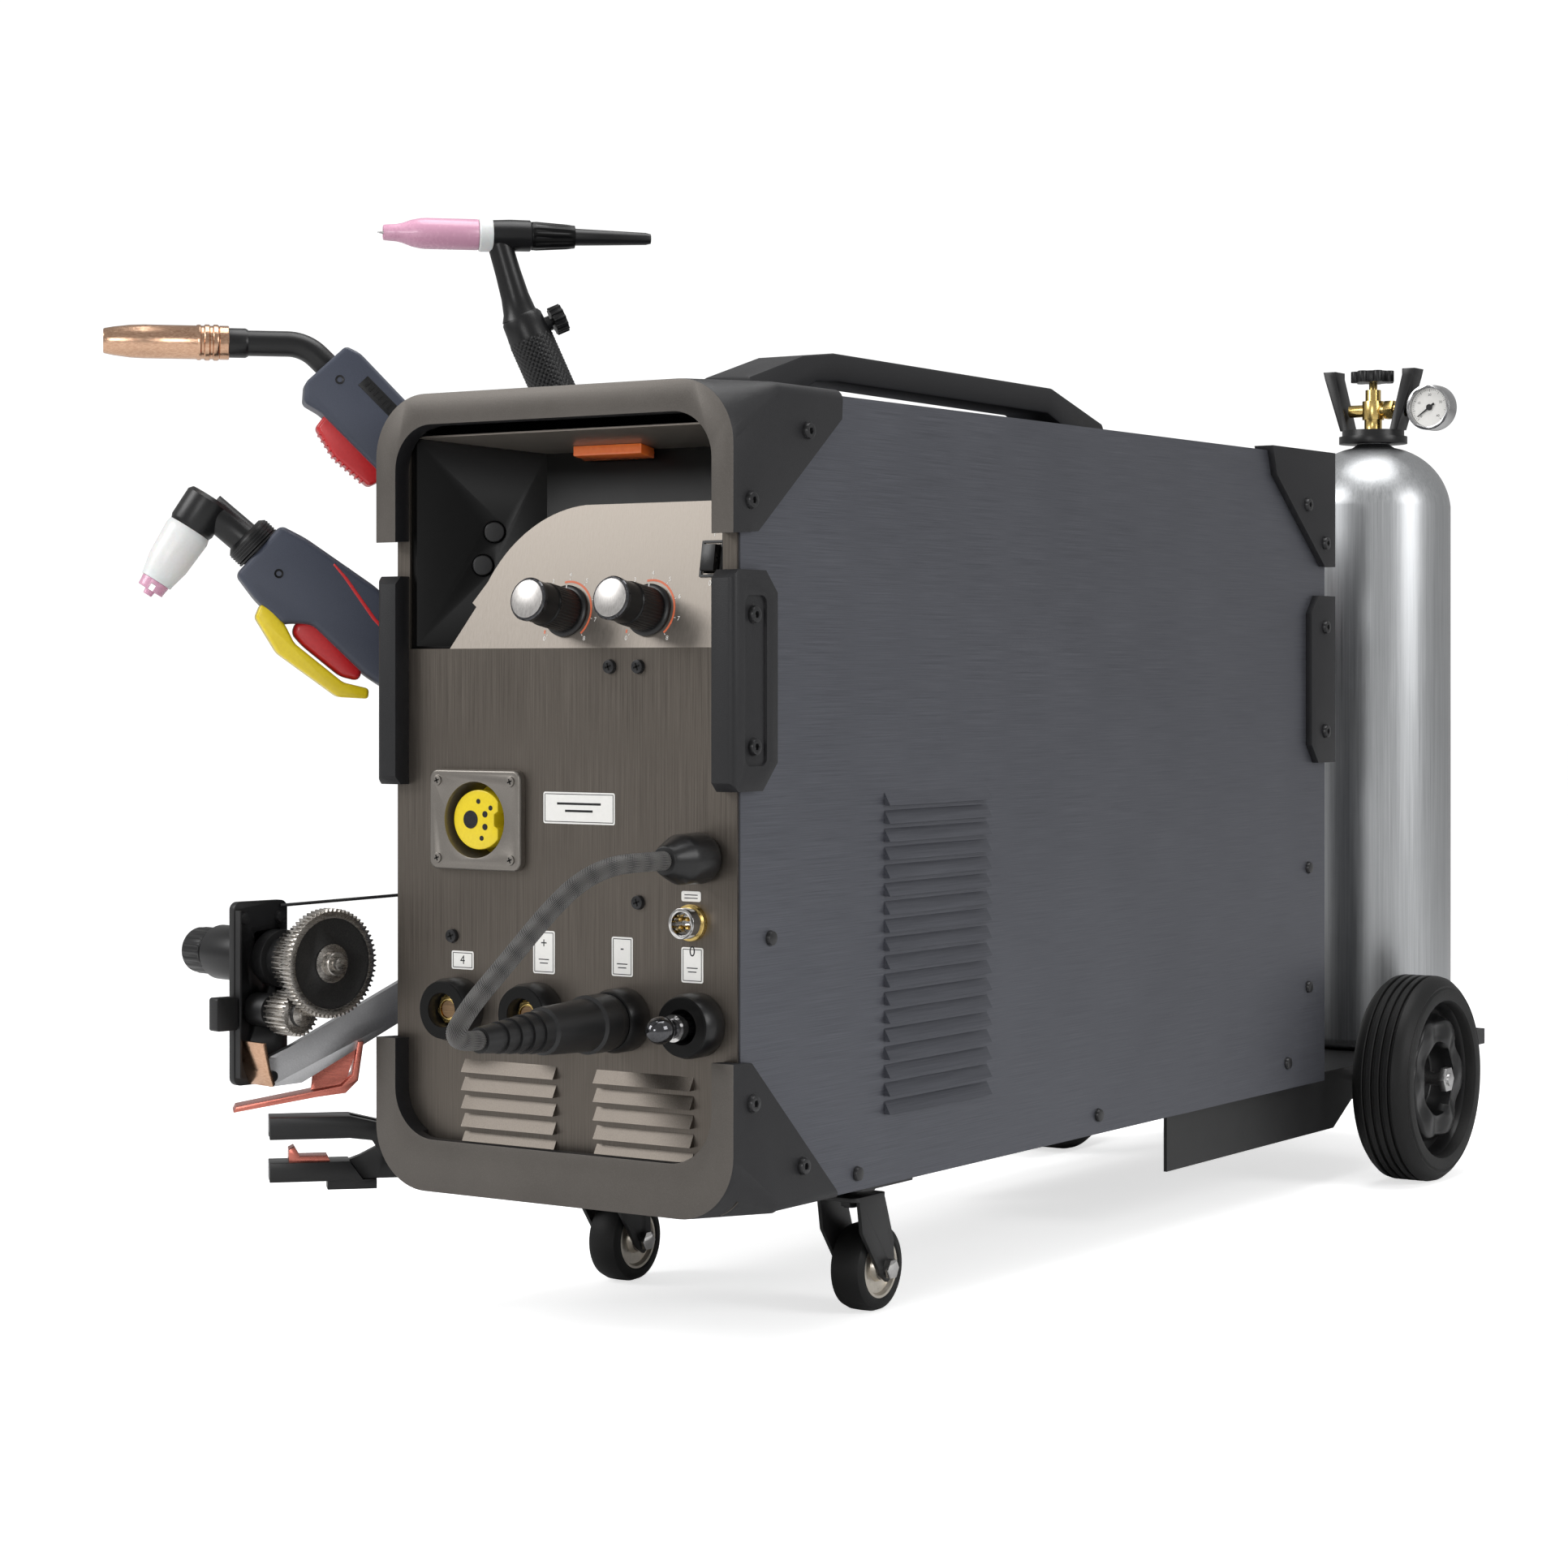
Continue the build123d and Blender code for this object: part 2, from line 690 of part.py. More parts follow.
def corner_radii(route):
    """One radius for each corner: 0.45 of the shorter run over the half turn's tangent."""
    points = [Vector(*point) for point in route]
    runs = [b - a for a, b in zip(points, points[1:])]
    radii = []
    for before, after in zip(runs, runs[1:]):
        half_turn = math.radians(before.get_angle(after)) / 2
        radii.append(0.45 * min(before.length, after.length) / math.tan(half_turn))
    return radii


lead_radii = corner_radii(lead_route)
with BuildPart() as polarity_lead:
    with BuildLine() as lead_line:
        FilletPolyline(*lead_route, radius=lead_radii)
    with BuildSketch(y_plane(-boot_reach)):
        with Locations((boot_x, boot_z)):
            Circle(lead_diameter / 2)
    sweep()
lead_length = sum(edge.length for edge in lead_line.edges())
print("lead corner radii", [round(radius, 1) for radius in lead_radii])
print("lead length", round(lead_length, 1), "volume ratio",
      round(polarity_lead.part.volume / (math.pi * lead_diameter ** 2 / 4 * lead_length), 4))
save("polarity_lead", polarity_lead.part)

with BuildPart() as control_connector:
    with BuildSketch(y_plane(0)):
        with Locations((connector_x, connector_z)):
            Circle(connector_radius + 1.5)
    extrude(amount=4)
    with BuildSketch(y_plane(12)):
        with Locations((connector_x, connector_z)):
            Circle(connector_radius - 2 - run_gap)
    extrude(amount=12)
    with BuildSketch(y_plane(-4)):
        with Locations((connector_x, connector_z)):
            Circle(connector_radius)
    extrude(amount=9)
    with BuildSketch(y_plane(0)):
        with Locations((connector_x, connector_z)):
            Circle(connector_radius - 2.5)
    extrude(amount=14, mode=Mode.SUBTRACT)
    with BuildSketch(y_plane(0.01)):
        with Locations((connector_x, connector_z)):
            with PolarLocations(4, 4, 45):
                Circle(1.1)
    extrude(amount=10)

gas_x = socket_x[3]
with BuildPart() as gas_coupling:
    with BuildSketch(Plane(origin=(gas_x, 0, socket_z), x_dir=(0, -1, 0), z_dir=(1, 0, 0))):
        with BuildLine():
            Polyline(
                (3 - socket_depth, 0), (3 - socket_depth, 9), (2, 9), (2, 7), (24, 7), (24, 9),
                (30, 9), (30, 6.5), (36, 6.5),
            )
            Spline((36, 6.5), (44, 9.5), (53, 6), (56, 0))
            Line((56, 0), (3 - socket_depth, 0))
        make_face()
    revolve(axis=Axis((gas_x, 0, socket_z), (0, -1, 0)))

label_sheet = 0.4
label_places = (
    (15.6, 372, 62, 22), (-88, 262, 20, 13), (-15, 271, 19, 30), (53, 271, 18, 27),
    (112, 268, 18, 24), (111, 314.5, 16, 7),
)
with BuildPart() as label_plates:
    for x, z, width, height in label_places:
        with BuildSketch(y_plane(0)):
            with Locations((x, z)):
                RectangleRounded(width, height, 1.5)
        extrude(amount=label_sheet)

# ---- fasteners
guard_bolts = (
    (74.4, 632.1), (5.3, 581.7), (12, mid_low + 30), (12, mid_high - 30), (7.3, 176.8),
    (68.3, 127.5), (rear_guard_y[0] - 10, 615), (rear_guard_y[0] + 27, 582),
    (rear_guard_y[0] + 27, mid_low + 28), (rear_guard_y[0] + 27, mid_high - 28),
)
side_bolts = (
    (37.5, 285.5), (146.8, 112), (501.3, 114.8), (847.7, 122.8), (891, 186.6), (891, 292.8),
)
front_bolts = ((42.5, 470), (66.8, 470), (66.8, 308.8), (-97.3, 278.9))
mid_floor = 2.5

with BuildPart() as guard_side_screws:
    for y, z in guard_bolts:
        floor = mid_floor if y == 12 else 0
        with BuildSketch(Plane.YZ.offset(guard_x - floor)):
            with Locations((y, z)):
                Circle(6.2)
        extrude(amount=3.4, taper=14)
        with BuildSketch(Plane.YZ.offset(guard_x - floor + 4)):
            with Locations((y, z)):
                RegularPolygon(2.6, 6)
        extrude(amount=-3, mode=Mode.SUBTRACT)
guard_screws_pair = mirrored(guard_side_screws.part)

with BuildPart() as side_screws:
    for y, z in side_bolts:
        with BuildSketch(Plane.YZ.offset(half_width)):
            with Locations((y, z)):
                Circle(5.4)
        extrude(amount=2.8, taper=14)
with BuildPart() as panel_screws:
    add(mirrored(side_screws.part))
    for x, z in front_bolts:
        with BuildSketch(y_plane(0)):
            with Locations((x, z)):
                Circle(5.2)
        extrude(amount=2.8, taper=14)

# ---- roof handle
handle_height = 52.0
handle_front = 186.0
handle_back = 756.0
handle_width = 44.0
handle_bar = 22.0
handle_top = body_top + handle_height

with BuildPart() as carry_handle:
    with BuildSketch(Plane.YZ.offset(-handle_width / 2)):
        with BuildLine():
            Polyline(
                (handle_front, body_top), (handle_front + 14, body_top + 26),
                (handle_front + 86, handle_top - 5), (handle_front + 130, handle_top),
                (handle_back - 100, handle_top - 3), (handle_back - 10, body_top + 24),
                (handle_back, body_top), close=True,
            )
        make_face()
        with BuildLine():
            Polyline(
                (handle_front + 62, body_top + 8), (handle_front + 104, handle_top - handle_bar - 2),
                (handle_front + 134, handle_top - handle_bar),
                (handle_back - 108, handle_top - handle_bar - 3), (handle_back - 52, body_top + 8),
                close=True,
            )
        make_face(mode=Mode.SUBTRACT)
    extrude(amount=handle_width)
    fillet(carry_handle.edges().group_by(Axis.Z)[-1].sort_by(Axis.X)[-1], 7)
save("carry_handle", carry_handle.part)

# ---- chassis, casters, wheels
tray_top = body_bottom + tray_sheet
skirt_x = 133.5
skirt_start = 651.0
tray_start = 640.0
tray_lip = 12.0
tray_wide_start = axle_y + wheel_radius + 4

with BuildPart() as chassis_tray:
    with BuildSketch(Plane.XY.offset(body_bottom - tray_sheet)):
        with Locations((0, tray_start)):
            Rectangle(2 * skirt_x, body_length - tray_start, align=(Align.CENTER, Align.MIN))
    extrude(amount=tray_sheet)
    with BuildSketch(Plane.XY.offset(body_bottom)):
        with Locations((0, body_length)):
            Rectangle(2 * skirt_x, tray_end - body_length, align=(Align.CENTER, Align.MIN))
        with Locations((0, tray_wide_start)):
            Rectangle(body_width + 6, tray_end - tray_wide_start, align=(Align.CENTER, Align.MIN))
    extrude(amount=tray_sheet)
    with BuildSketch(Plane.XY.offset(tray_top)):
        with Locations((0, tray_wide_start)):
            Rectangle(body_width + 6, tray_end - tray_wide_start, align=(Align.CENTER, Align.MIN))
            Rectangle(
                body_width, tray_end - tray_wide_start - 3, align=(Align.CENTER, Align.MIN),
                mode=Mode.SUBTRACT,
            )
    extrude(amount=tray_lip)
    with BuildSketch(Plane.XY.offset(body_bottom - tray_sheet)):
        with Locations((0, body_length - 20)):
            Rectangle(2 * skirt_x, 20, align=(Align.CENTER, Align.MIN))
    extrude(amount=tray_sheet)
    with BuildSketch(Plane.XY.offset(body_bottom - tray_sheet)):
        with Locations((0, body_length)):
            Rectangle(2 * skirt_x, tray_sheet, align=(Align.CENTER, Align.MIN))
    extrude(amount=tray_sheet)
    for side in (-1, 1):
        with BuildSketch(Plane.YZ.offset(side * (skirt_x - tray_sheet / 2) - tray_sheet / 2)):
            with BuildLine():
                Polyline(
                    (skirt_start, body_bottom), (skirt_start, body_bottom - skirt_drop),
                    (axle_y - 60, body_bottom - skirt_drop), (axle_y - 20, wheel_radius - 22),
                    (axle_y + 20, wheel_radius - 22), (axle_y + 60, body_bottom), close=True,
                )
            make_face()
            with Locations((axle_y, wheel_radius)):
                Circle(axle_radius, mode=Mode.SUBTRACT)
        extrude(amount=tray_sheet)
save("chassis_tray", chassis_tray.part)

hub_width = wheel_width - 8
axle_end = wheel_x + hub_width / 2 + 9

with BuildPart() as rear_axle:
    with BuildSketch(Plane.YZ.offset(-axle_end)):
        with Locations((axle_y, wheel_radius)):
            Circle(axle_radius)
    extrude(amount=2 * axle_end)
    for side in (-1, 1):
        with BuildSketch(Plane.YZ.offset(side * (wheel_x + hub_width / 2 + 1))):
            with Locations((axle_y, wheel_radius)):
                RegularPolygon(12, 6)
                Circle(axle_radius - 0.5, mode=Mode.SUBTRACT)
        extrude(amount=side * 6)

rim_radius = 70.0


def turned(point, direction, outline):
    """A solid of revolution: the outline is (distance along the direction, radius) pairs."""
    shaft = Vector(*direction).normalized()
    across = Vector(0, 0, 1) if abs(shaft.Z) < 0.9 else Vector(0, 1, 0)
    side = shaft.cross(across).normalized()
    with BuildPart() as turning:
        with BuildSketch(Plane(origin=point, x_dir=shaft, z_dir=shaft.cross(side))):
            with BuildLine():
                Polyline(*outline, close=True)
            make_face()
        revolve(axis=Axis(point, shaft))
    return turning.part


for name, side in (("rear_wheel_left", -1), ("rear_wheel_right", 1)):
    hub = (side * wheel_x, axle_y, wheel_radius)
    half_hub = hub_width / 2
    half_tyre = wheel_width / 2
    bore = axle_radius + run_gap
    bead = rim_radius + run_gap
    with BuildPart() as wheel:
        add(turned(hub, (side, 0, 0), (
            (-half_hub, bore), (half_hub, bore), (half_hub, 18), (half_hub - 10, 20),
            (half_hub - 12, 32), (half_hub - 2, 36), (half_hub - 4, 44), (half_hub - 14, 60),
            (half_hub - 6, rim_radius), (6 - half_hub, rim_radius), (12 - half_hub, 30),
            (-half_hub, 22),
        )))
        add(turned(hub, (side, 0, 0), (
            (4 - half_tyre, bead), (half_tyre - 4, bead), (half_tyre, bead + 5),
            (half_tyre - 3, wheel_radius - 8), (half_tyre - 12, wheel_radius - 1.5),
            (10, wheel_radius), (-10, wheel_radius), (12 - half_tyre, wheel_radius - 1.5),
            (3 - half_tyre, wheel_radius - 8), (-half_tyre, bead + 5),
        )))
    save(name, wheel.part)

fork_top = 88.0
fork_gap = 1.5
caster_hub = caster_y + caster_trail
fork_half = caster_width / 2 + fork_gap
fork_sheet = 3.0
caster_bolt = 4.0
kingpin_radius = 5.0

with BuildPart() as caster_plates:
    for side in (-1, 1):
        with BuildSketch(Plane.XY.offset(body_bottom)):
            with Locations((side * caster_x, caster_y)):
                RectangleRounded(64, 76, 5)
        extrude(amount=-4)
        with BuildSketch(Plane.XY.offset(body_bottom - 4)):
            with Locations((side * caster_x, caster_y)):
                Circle(20)
        extrude(amount=-5, taper=20)
        with BuildSketch(Plane.XY.offset(body_bottom - 4)):
            with Locations((side * caster_x, caster_y)):
                Circle(kingpin_radius)
        extrude(amount=-18)
        with BuildSketch(Plane.XY.offset(fork_top - fork_sheet - 1)):
            with Locations((side * caster_x, caster_y)):
                RegularPolygon(7.5, 6)
        extrude(amount=-5)

for name, side in (("left", -1), ("right", 1)):
    x = side * caster_x
    with BuildPart() as fork:
        with BuildSketch(Plane.XY.offset(fork_top)):
            with Locations((x, caster_y)):
                RectangleRounded(2 * fork_half + 2 * fork_sheet, 44, 6)
                Circle(kingpin_radius + run_gap, mode=Mode.SUBTRACT)
        extrude(amount=-fork_sheet)
        for leg in (-1, 1):
            with BuildSketch(Plane.YZ.offset(x + leg * fork_half)):
                with BuildLine():
                    Polyline(
                        (caster_y - 16, fork_top - fork_sheet), (caster_y - 12, 62),
                        (caster_hub - 9, caster_radius - 4), (caster_hub, caster_radius - 10),
                        (caster_hub + 9, caster_radius - 4), (caster_hub + 8, 52),
                        (caster_y + 18, fork_top - fork_sheet), close=True,
                    )
                make_face()
                with Locations((caster_hub, caster_radius)):
                    Circle(caster_bolt, mode=Mode.SUBTRACT)
            extrude(amount=leg * fork_sheet)
    bolt_end = fork_half + fork_sheet
    with BuildPart() as bolt:
        add(turned((x, caster_hub, caster_radius), (1, 0, 0), (
            (-bolt_end, 0), (-bolt_end, caster_bolt - 0.01), (bolt_end, caster_bolt - 0.01),
            (bolt_end, 0),
        )))
        for end in (-1, 1):
            with BuildSketch(Plane.YZ.offset(x + end * bolt_end)):
                with Locations((caster_hub, caster_radius)):
                    RegularPolygon(7.5, 6)
            extrude(amount=end * 5)
    save(f"caster_fork_{name}", fork.part, bolt.part)
    half_wheel = caster_width / 2
    with BuildPart() as roller:
        add(turned((x, caster_hub, caster_radius), (1, 0, 0), (
            (-half_wheel, caster_bolt + run_gap), (half_wheel, caster_bolt + run_gap),
            (half_wheel, 9), (half_wheel - 4, 11), (half_wheel - 4, 17), (half_wheel - 1, 21),
            (half_wheel - 1, 22), (1 - half_wheel, 22), (1 - half_wheel, 21),
            (4 - half_wheel, 17), (4 - half_wheel, 11), (-half_wheel, 9),
        )))
        add(turned((x, caster_hub, caster_radius), (1, 0, 0), (
            (1.5 - half_wheel, 22 + run_gap), (half_wheel - 1.5, 22 + run_gap),
            (half_wheel, 24), (half_wheel - 3, caster_radius - 3), (half_wheel - 8, caster_radius),
            (8 - half_wheel, caster_radius), (3 - half_wheel, caster_radius - 3),
            (-half_wheel, 24),
        )))
    save(f"caster_wheel_{name}", roller.part)

# ---- gas cylinder
neck_radius = 15.0
neck_bore = 9.0
bottle_foot = tray_top
cylinder_point = (cylinder_x, cylinder_y, 0)

with BuildPart() as gas_cylinder:
    with BuildSketch(Plane(origin=cylinder_point, x_dir=(1, 0, 0), z_dir=(0, -1, 0))):
        with BuildLine():
            Polyline((0, bottle_foot), (cylinder_radius - 12, bottle_foot))
            ThreePointArc(
                (cylinder_radius - 12, bottle_foot),
                (cylinder_radius - 3.5, bottle_foot + 3.5), (cylinder_radius, bottle_foot + 12),
            )
            Line((cylinder_radius, bottle_foot + 12), (cylinder_radius, cylinder_shoulder))
            ThreePointArc(
                (cylinder_radius, cylinder_shoulder),
                (cylinder_radius - 17, cylinder_shoulder + 38), (neck_radius + 6, cylinder_top - 4),
            )
            Polyline(
                (neck_radius + 6, cylinder_top - 4), (neck_radius, cylinder_top),
                (neck_radius, cylinder_top + 8), (neck_bore, cylinder_top + 8),
                (neck_bore, cylinder_top - cylinder_wall - 2),
            )
            ThreePointArc(
                (neck_bore, cylinder_top - cylinder_wall - 2),
                (cylinder_radius - 22, cylinder_shoulder + 34),
                (cylinder_radius - cylinder_wall, cylinder_shoulder),
            )
            Polyline(
                (cylinder_radius - cylinder_wall, cylinder_shoulder),
                (cylinder_radius - cylinder_wall, bottle_foot + 20),
                (cylinder_radius - 20, bottle_foot + 10), (0, bottle_foot + 10), (0, bottle_foot),
            )
        make_face()
    revolve(axis=Axis(cylinder_point, (0, 0, 1)))
save("gas_cylinder", gas_cylinder.part)

collar_base = cylinder_top + 0.3
post_top = 762.0
post_reach = 42.0
outlet_z = 723.0
outlet_end = 34.0
outlet_bore = 7.0

with BuildPart() as cylinder_collar:
    with BuildSketch(Plane.XY.offset(collar_base)):
        with Locations((cylinder_x, cylinder_y)):
            Circle(33)
            Circle(neck_radius + 0.2, mode=Mode.SUBTRACT)
    extrude(amount=7)
    with BuildSketch(Plane.XY.offset(collar_base + 7)):
        with Locations((cylinder_x, cylinder_y)):
            Circle(30)
            Circle(neck_radius + 0.2, mode=Mode.SUBTRACT)
    extrude(amount=6)
    for side in (-1, 1):
        with BuildSketch(y_plane(cylinder_y + 11)):
            with BuildLine():
                Polyline(
                    (cylinder_x + side * 22, collar_base + 13),
                    (cylinder_x + side * 30, collar_base + 13),
                    (cylinder_x + side * (post_reach + 4), post_top - 8),
                    (cylinder_x + side * (post_reach + 6), post_top),
                    (cylinder_x + side * (post_reach - 7), post_top),
                    (cylinder_x + side * (post_reach - 7), post_top - 6), close=True,
                )
            make_face()
        extrude(amount=22)
    with BuildSketch(Plane.YZ.offset(cylinder_x)):
        with Locations((cylinder_y, outlet_z)):
            Circle(outlet_bore)
    extrude(amount=post_reach + 10, mode=Mode.SUBTRACT)
save("cylinder_collar", cylinder_collar.part)

valve_base = cylinder_top + 8
gauge_x = cylinder_x + outlet_end + 29.0
gauge_radius = 22.0

with BuildPart() as cylinder_valve:
    add(turned((cylinder_x, cylinder_y, 0), (0, 0, 1), (
        (cylinder_top - 6, 0), (cylinder_top - 6, neck_bore - run_gap),
        (valve_base, neck_bore - run_gap), (valve_base, 12), (valve_base + 6, 12),
        (valve_base + 6, 8.5), (outlet_z - 9, 8.5), (outlet_z - 9, 10.5), (outlet_z + 9, 10.5),
        (outlet_z + 9, 7.5), (outlet_z + 20, 7.5), (outlet_z + 20, 4), (outlet_z + 27, 4),
        (outlet_z + 27, 0),
    )))
    add(turned((cylinder_x, cylinder_y, outlet_z), (1, 0, 0), (
        (-24, 0), (-24, 6), (0, 6), (outlet_end - 14, 6), (outlet_end - 14, 5),
        (outlet_end, 5), (outlet_end, 0),
    )))
    with BuildSketch(Plane.YZ.offset(cylinder_x + 14)):
        with Locations((cylinder_y, outlet_z)):
            RegularPolygon(10, 6)
    extrude(amount=9)
save("cylinder_valve", cylinder_valve.part)

with BuildPart() as valve_handwheel:
    with BuildSketch(Plane.XY.offset(outlet_z + 27.3)):
        with Locations((cylinder_x, cylinder_y)):
            Circle(17)
            with PolarLocations(17, 7):
                Circle(4.5)
    extrude(amount=11)
save("valve_handwheel", valve_handwheel.part)

gauge_y = cylinder_y - 9
with BuildPart() as pressure_gauge:
    add(turned((gauge_x, gauge_y, outlet_z), (0, -1, 0), (
        (-16, 0), (-16, gauge_radius - 2), (-14, gauge_radius), (5, gauge_radius),
        (5, gauge_radius - 3), (0, gauge_radius - 3), (0, 2.2), (-6, 2.2), (-6, 0),
    )))
    with BuildSketch(Plane.YZ.offset(cylinder_x + outlet_end)):
        with Locations((cylinder_y, outlet_z)):
            Circle(5)
    extrude(amount=gauge_x - cylinder_x - outlet_end - gauge_radius + 3)
save("pressure_gauge", pressure_gauge.part)

needle_angle = math.radians(216)
with BuildPart() as gauge_needle:
    add(turned((gauge_x, gauge_y, outlet_z), (0, -1, 0), (
        (-5.7, 0), (-5.7, 2.1), (1, 2.1), (1, 3), (2.2, 3), (2.2, 0),
    )))
    needle_plane = Plane(
        origin=(gauge_x, gauge_y - 1.2, outlet_z), z_dir=(0, -1, 0),
        x_dir=(math.cos(needle_angle), 0, math.sin(needle_angle)),
    )
    with BuildSketch(needle_plane):
        with BuildLine():
            Polyline((-6, -1), (15, -0.4), (15, 0.4), (-6, 1), close=True)
        make_face()
    extrude(amount=0.6)
save("gauge_needle", gauge_needle.part)

bracket_z = 470.0
with BuildPart() as cylinder_bracket:
    with BuildSketch(Plane.XY.offset(bracket_z)):
        with BuildLine():
            Polyline(
                (-60, body_length), (40, body_length), (40, body_length + 3), (20, body_length + 3),
                (20, cylinder_y - 48), (30, cylinder_y - 48), (30, cylinder_y), (-20, cylinder_y),
                (-20, body_length + 3), (-60, body_length + 3), close=True,
            )
        make_face()
        with Locations((cylinder_x, cylinder_y)):
            Circle(cylinder_radius + fit_gap, mode=Mode.SUBTRACT)
        with Locations((0, body_length + 100)):
            Rectangle(24, 150, mode=Mode.SUBTRACT)
    extrude(amount=26)

# ---- torches, each in an upright plane turned 45 degrees out and forward
turn = math.sqrt(0.5)
torch_out = (-turn, -turn, 0)
torch_normal = (-turn, turn, 0)


def torch_plane(x, y):
    """Local x runs outward and forward, local y runs up."""
    return Plane(origin=(x, y, 0), x_dir=torch_out, z_dir=torch_normal)


def along(plane, start, end):
    """Two local points as a global start and direction."""
    first = plane.from_local_coords((start[0], start[1], 0))
    last = plane.from_local_coords((end[0], end[1], 0))
    return first, last - first


def slab(plane, outline, half_thickness, edge_radius):
    """A moulded handle: an outline thickened both ways, its long edges rounded."""
    with BuildPart() as body:
        for inset, reach in (
            (0, half_thickness - edge_radius),
            (edge_radius * 0.4, half_thickness - edge_radius * 0.4),
            (edge_radius, half_thickness),
        ):
            with BuildSketch(plane):
                with BuildLine():
                    Polyline(*outline, close=True)
                make_face()
                if inset:
                    offset(amount=-inset, kind=Kind.INTERSECTION)
            extrude(amount=reach, both=True)
    return body.part


mig_plane = torch_plane(-168, 125)
mig_axis_z = 711.0
nozzle_radius = 12.0
nozzle_wall = 2.5
nozzle_start = 191.5
nozzle_end = 283.0

mig_start, mig_direction = along(mig_plane, (nozzle_start, mig_axis_z), (nozzle_end, mig_axis_z))
nozzle_length = nozzle_end - nozzle_start
with BuildPart() as mig_nozzle:
    add(turned(mig_start, mig_direction, (
        (0, 9 + run_gap), (0, nozzle_radius), (8, nozzle_radius), (8, nozzle_radius + 0.8),
        (11, nozzle_radius + 0.8), (11, nozzle_radius), (14, nozzle_radius),
        (14, nozzle_radius + 0.8), (17, nozzle_radius + 0.8), (17, nozzle_radius),
        (nozzle_length - 20, nozzle_radius), (nozzle_length - 3, nozzle_radius - 1.3),
        (nozzle_length, nozzle_radius - 2.2), (nozzle_length, nozzle_radius - nozzle_wall - 1.5),
        (nozzle_length - 20, nozzle_radius - nozzle_wall), (12, nozzle_radius - nozzle_wall),
        (12, 9 + run_gap),
    )))

with BuildPart() as mig_contact_tip:
    add(turned(mig_start, mig_direction, (
        (12, 0.6), (12, 6), (30, 6), (32, 4), (nozzle_length - 8, 3.5),
        (nozzle_length - 5, 2.5), (nozzle_length - 5, 0.6),
    )))

neck_radius_mig = 9.5
mig_grip = Plane(
    origin=mig_plane.from_local_coords((119, 695, 0)),
    x_dir=Vector(*torch_out) * -0.695 + Vector(0, 0, -0.719), z_dir=torch_normal,
)
grip_front = mig_plane.to_local_coords(mig_grip.from_local_coords((-1, 0, 0)))

with BuildPart() as mig_neck:
    add(turned(mig_start, mig_direction, (
        (-14, 0), (-14, 10), (-12, 11), (0, 11), (0, 9), (12, 9), (12, 0),
    )))
    with BuildLine():
        neck_line = FilletPolyline(
            mig_plane.from_local_coords((nozzle_start - 14, mig_axis_z, 0)),
            mig_plane.from_local_coords((135.5, mig_axis_z, 0)),
            mig_grip.from_local_coords((0, 0, 0)), radius=32,
        )
    with BuildSketch(Plane(origin=neck_line @ 0, z_dir=neck_line % 0)):
        Circle(neck_radius_mig)
    sweep()

trigger_thick = 9.0
with BuildPart() as mig_handle:
    add(slab(mig_grip, (
        (0, -20), (76, -21), (150, -17), (150, 19), (92, 22), (86, 30), (22, 28), (17, 37), (0, 22),
    ), 17, 7))
    with BuildSketch(mig_grip):
        with BuildLine():
            Polyline((22, 16), (90, 16), (90, 60), (22, 60), close=True)
        make_face()
    extrude(amount=trigger_thick + 0.6, both=True, mode=Mode.SUBTRACT)
    stub_start = mig_grip.from_local_coords((150, 1, 0))
    add(turned(stub_start, mig_grip.x_dir, ((-5, 0), (-5, 9), (18, 9), (18, 0))))

with BuildPart() as mig_trigger:
    with BuildSketch(mig_grip):
        with BuildLine():
            Polyline((24, 22), (28, 18), (85, 24), (87, 30), (82, 44), (50, 46), (26, 40), close=True)
        make_face()
        with Locations((26, 24)):
            Circle(pivot_bore, mode=Mode.SUBTRACT)
    extrude(amount=trigger_thick, both=True)
    for rib in range(5):
        with BuildSketch(mig_grip):
            with Locations((50 + rib * 7, 45)):
                Circle(1.6)
        extrude(amount=trigger_thick - 1, both=True)
save("mig_trigger", mig_trigger.part)

plasma_plane = torch_plane(-168, 125)
plasma_grip = Plane(
    origin=plasma_plane.from_local_coords((170, 556, 0)),
    x_dir=Vector(*torch_out) * -0.72 + Vector(0, 0, -0.694), z_dir=torch_normal,
)
cup_start, cup_direction = along(plasma_plane, (220, 572.7), (244.6, 534))

with BuildPart() as plasma_cup:
    add(turned(cup_start, cup_direction, (
        (0.2, 0), (0.2, 16.3), (4, 17.3), (30, 15.6), (44, 12.4), (46, 12.2), (46, 7), (40, 7), (40, 0),
    )))

with BuildPart() as plasma_tip:
    add(turned(cup_start, cup_direction, (
        (40.1, 0), (40.1, 6.8), (46.2, 6.8), (46.2, 10.8), (54, 10.2), (54, 4), (58, 3.4), (58, 0),
    )))
    tip_plane = axis_plane(cup_start + cup_direction.normalized() * 54.01, cup_direction)
    with BuildSketch(tip_plane):
        Rectangle(40, 4)
        Rectangle(4, 40)
    extrude(amount=-5, mode=Mode.SUBTRACT)

with BuildPart() as plasma_head:
    add(turned(cup_start, cup_direction, (
        (-28, 0), (-28, 15), (-25, 17.3), (-3, 17.3), (0, 16), (0, 0),
    )))
    elbow, elbow_way = along(plasma_plane, (206, 588), (179, 565))
    add(turned(elbow, elbow_way, ((0, 0), (0, 12.5), (34, 12.5), (34, 0))))
    collar_at = plasma_grip.from_local_coords((-14, -2, 0))
    add(turned(collar_at, plasma_grip.x_dir, (
        (-2, 0), (-2, 15), (1, 18.5), (10, 18.5), (12, 16), (14, 16), (14, 0),
    )))

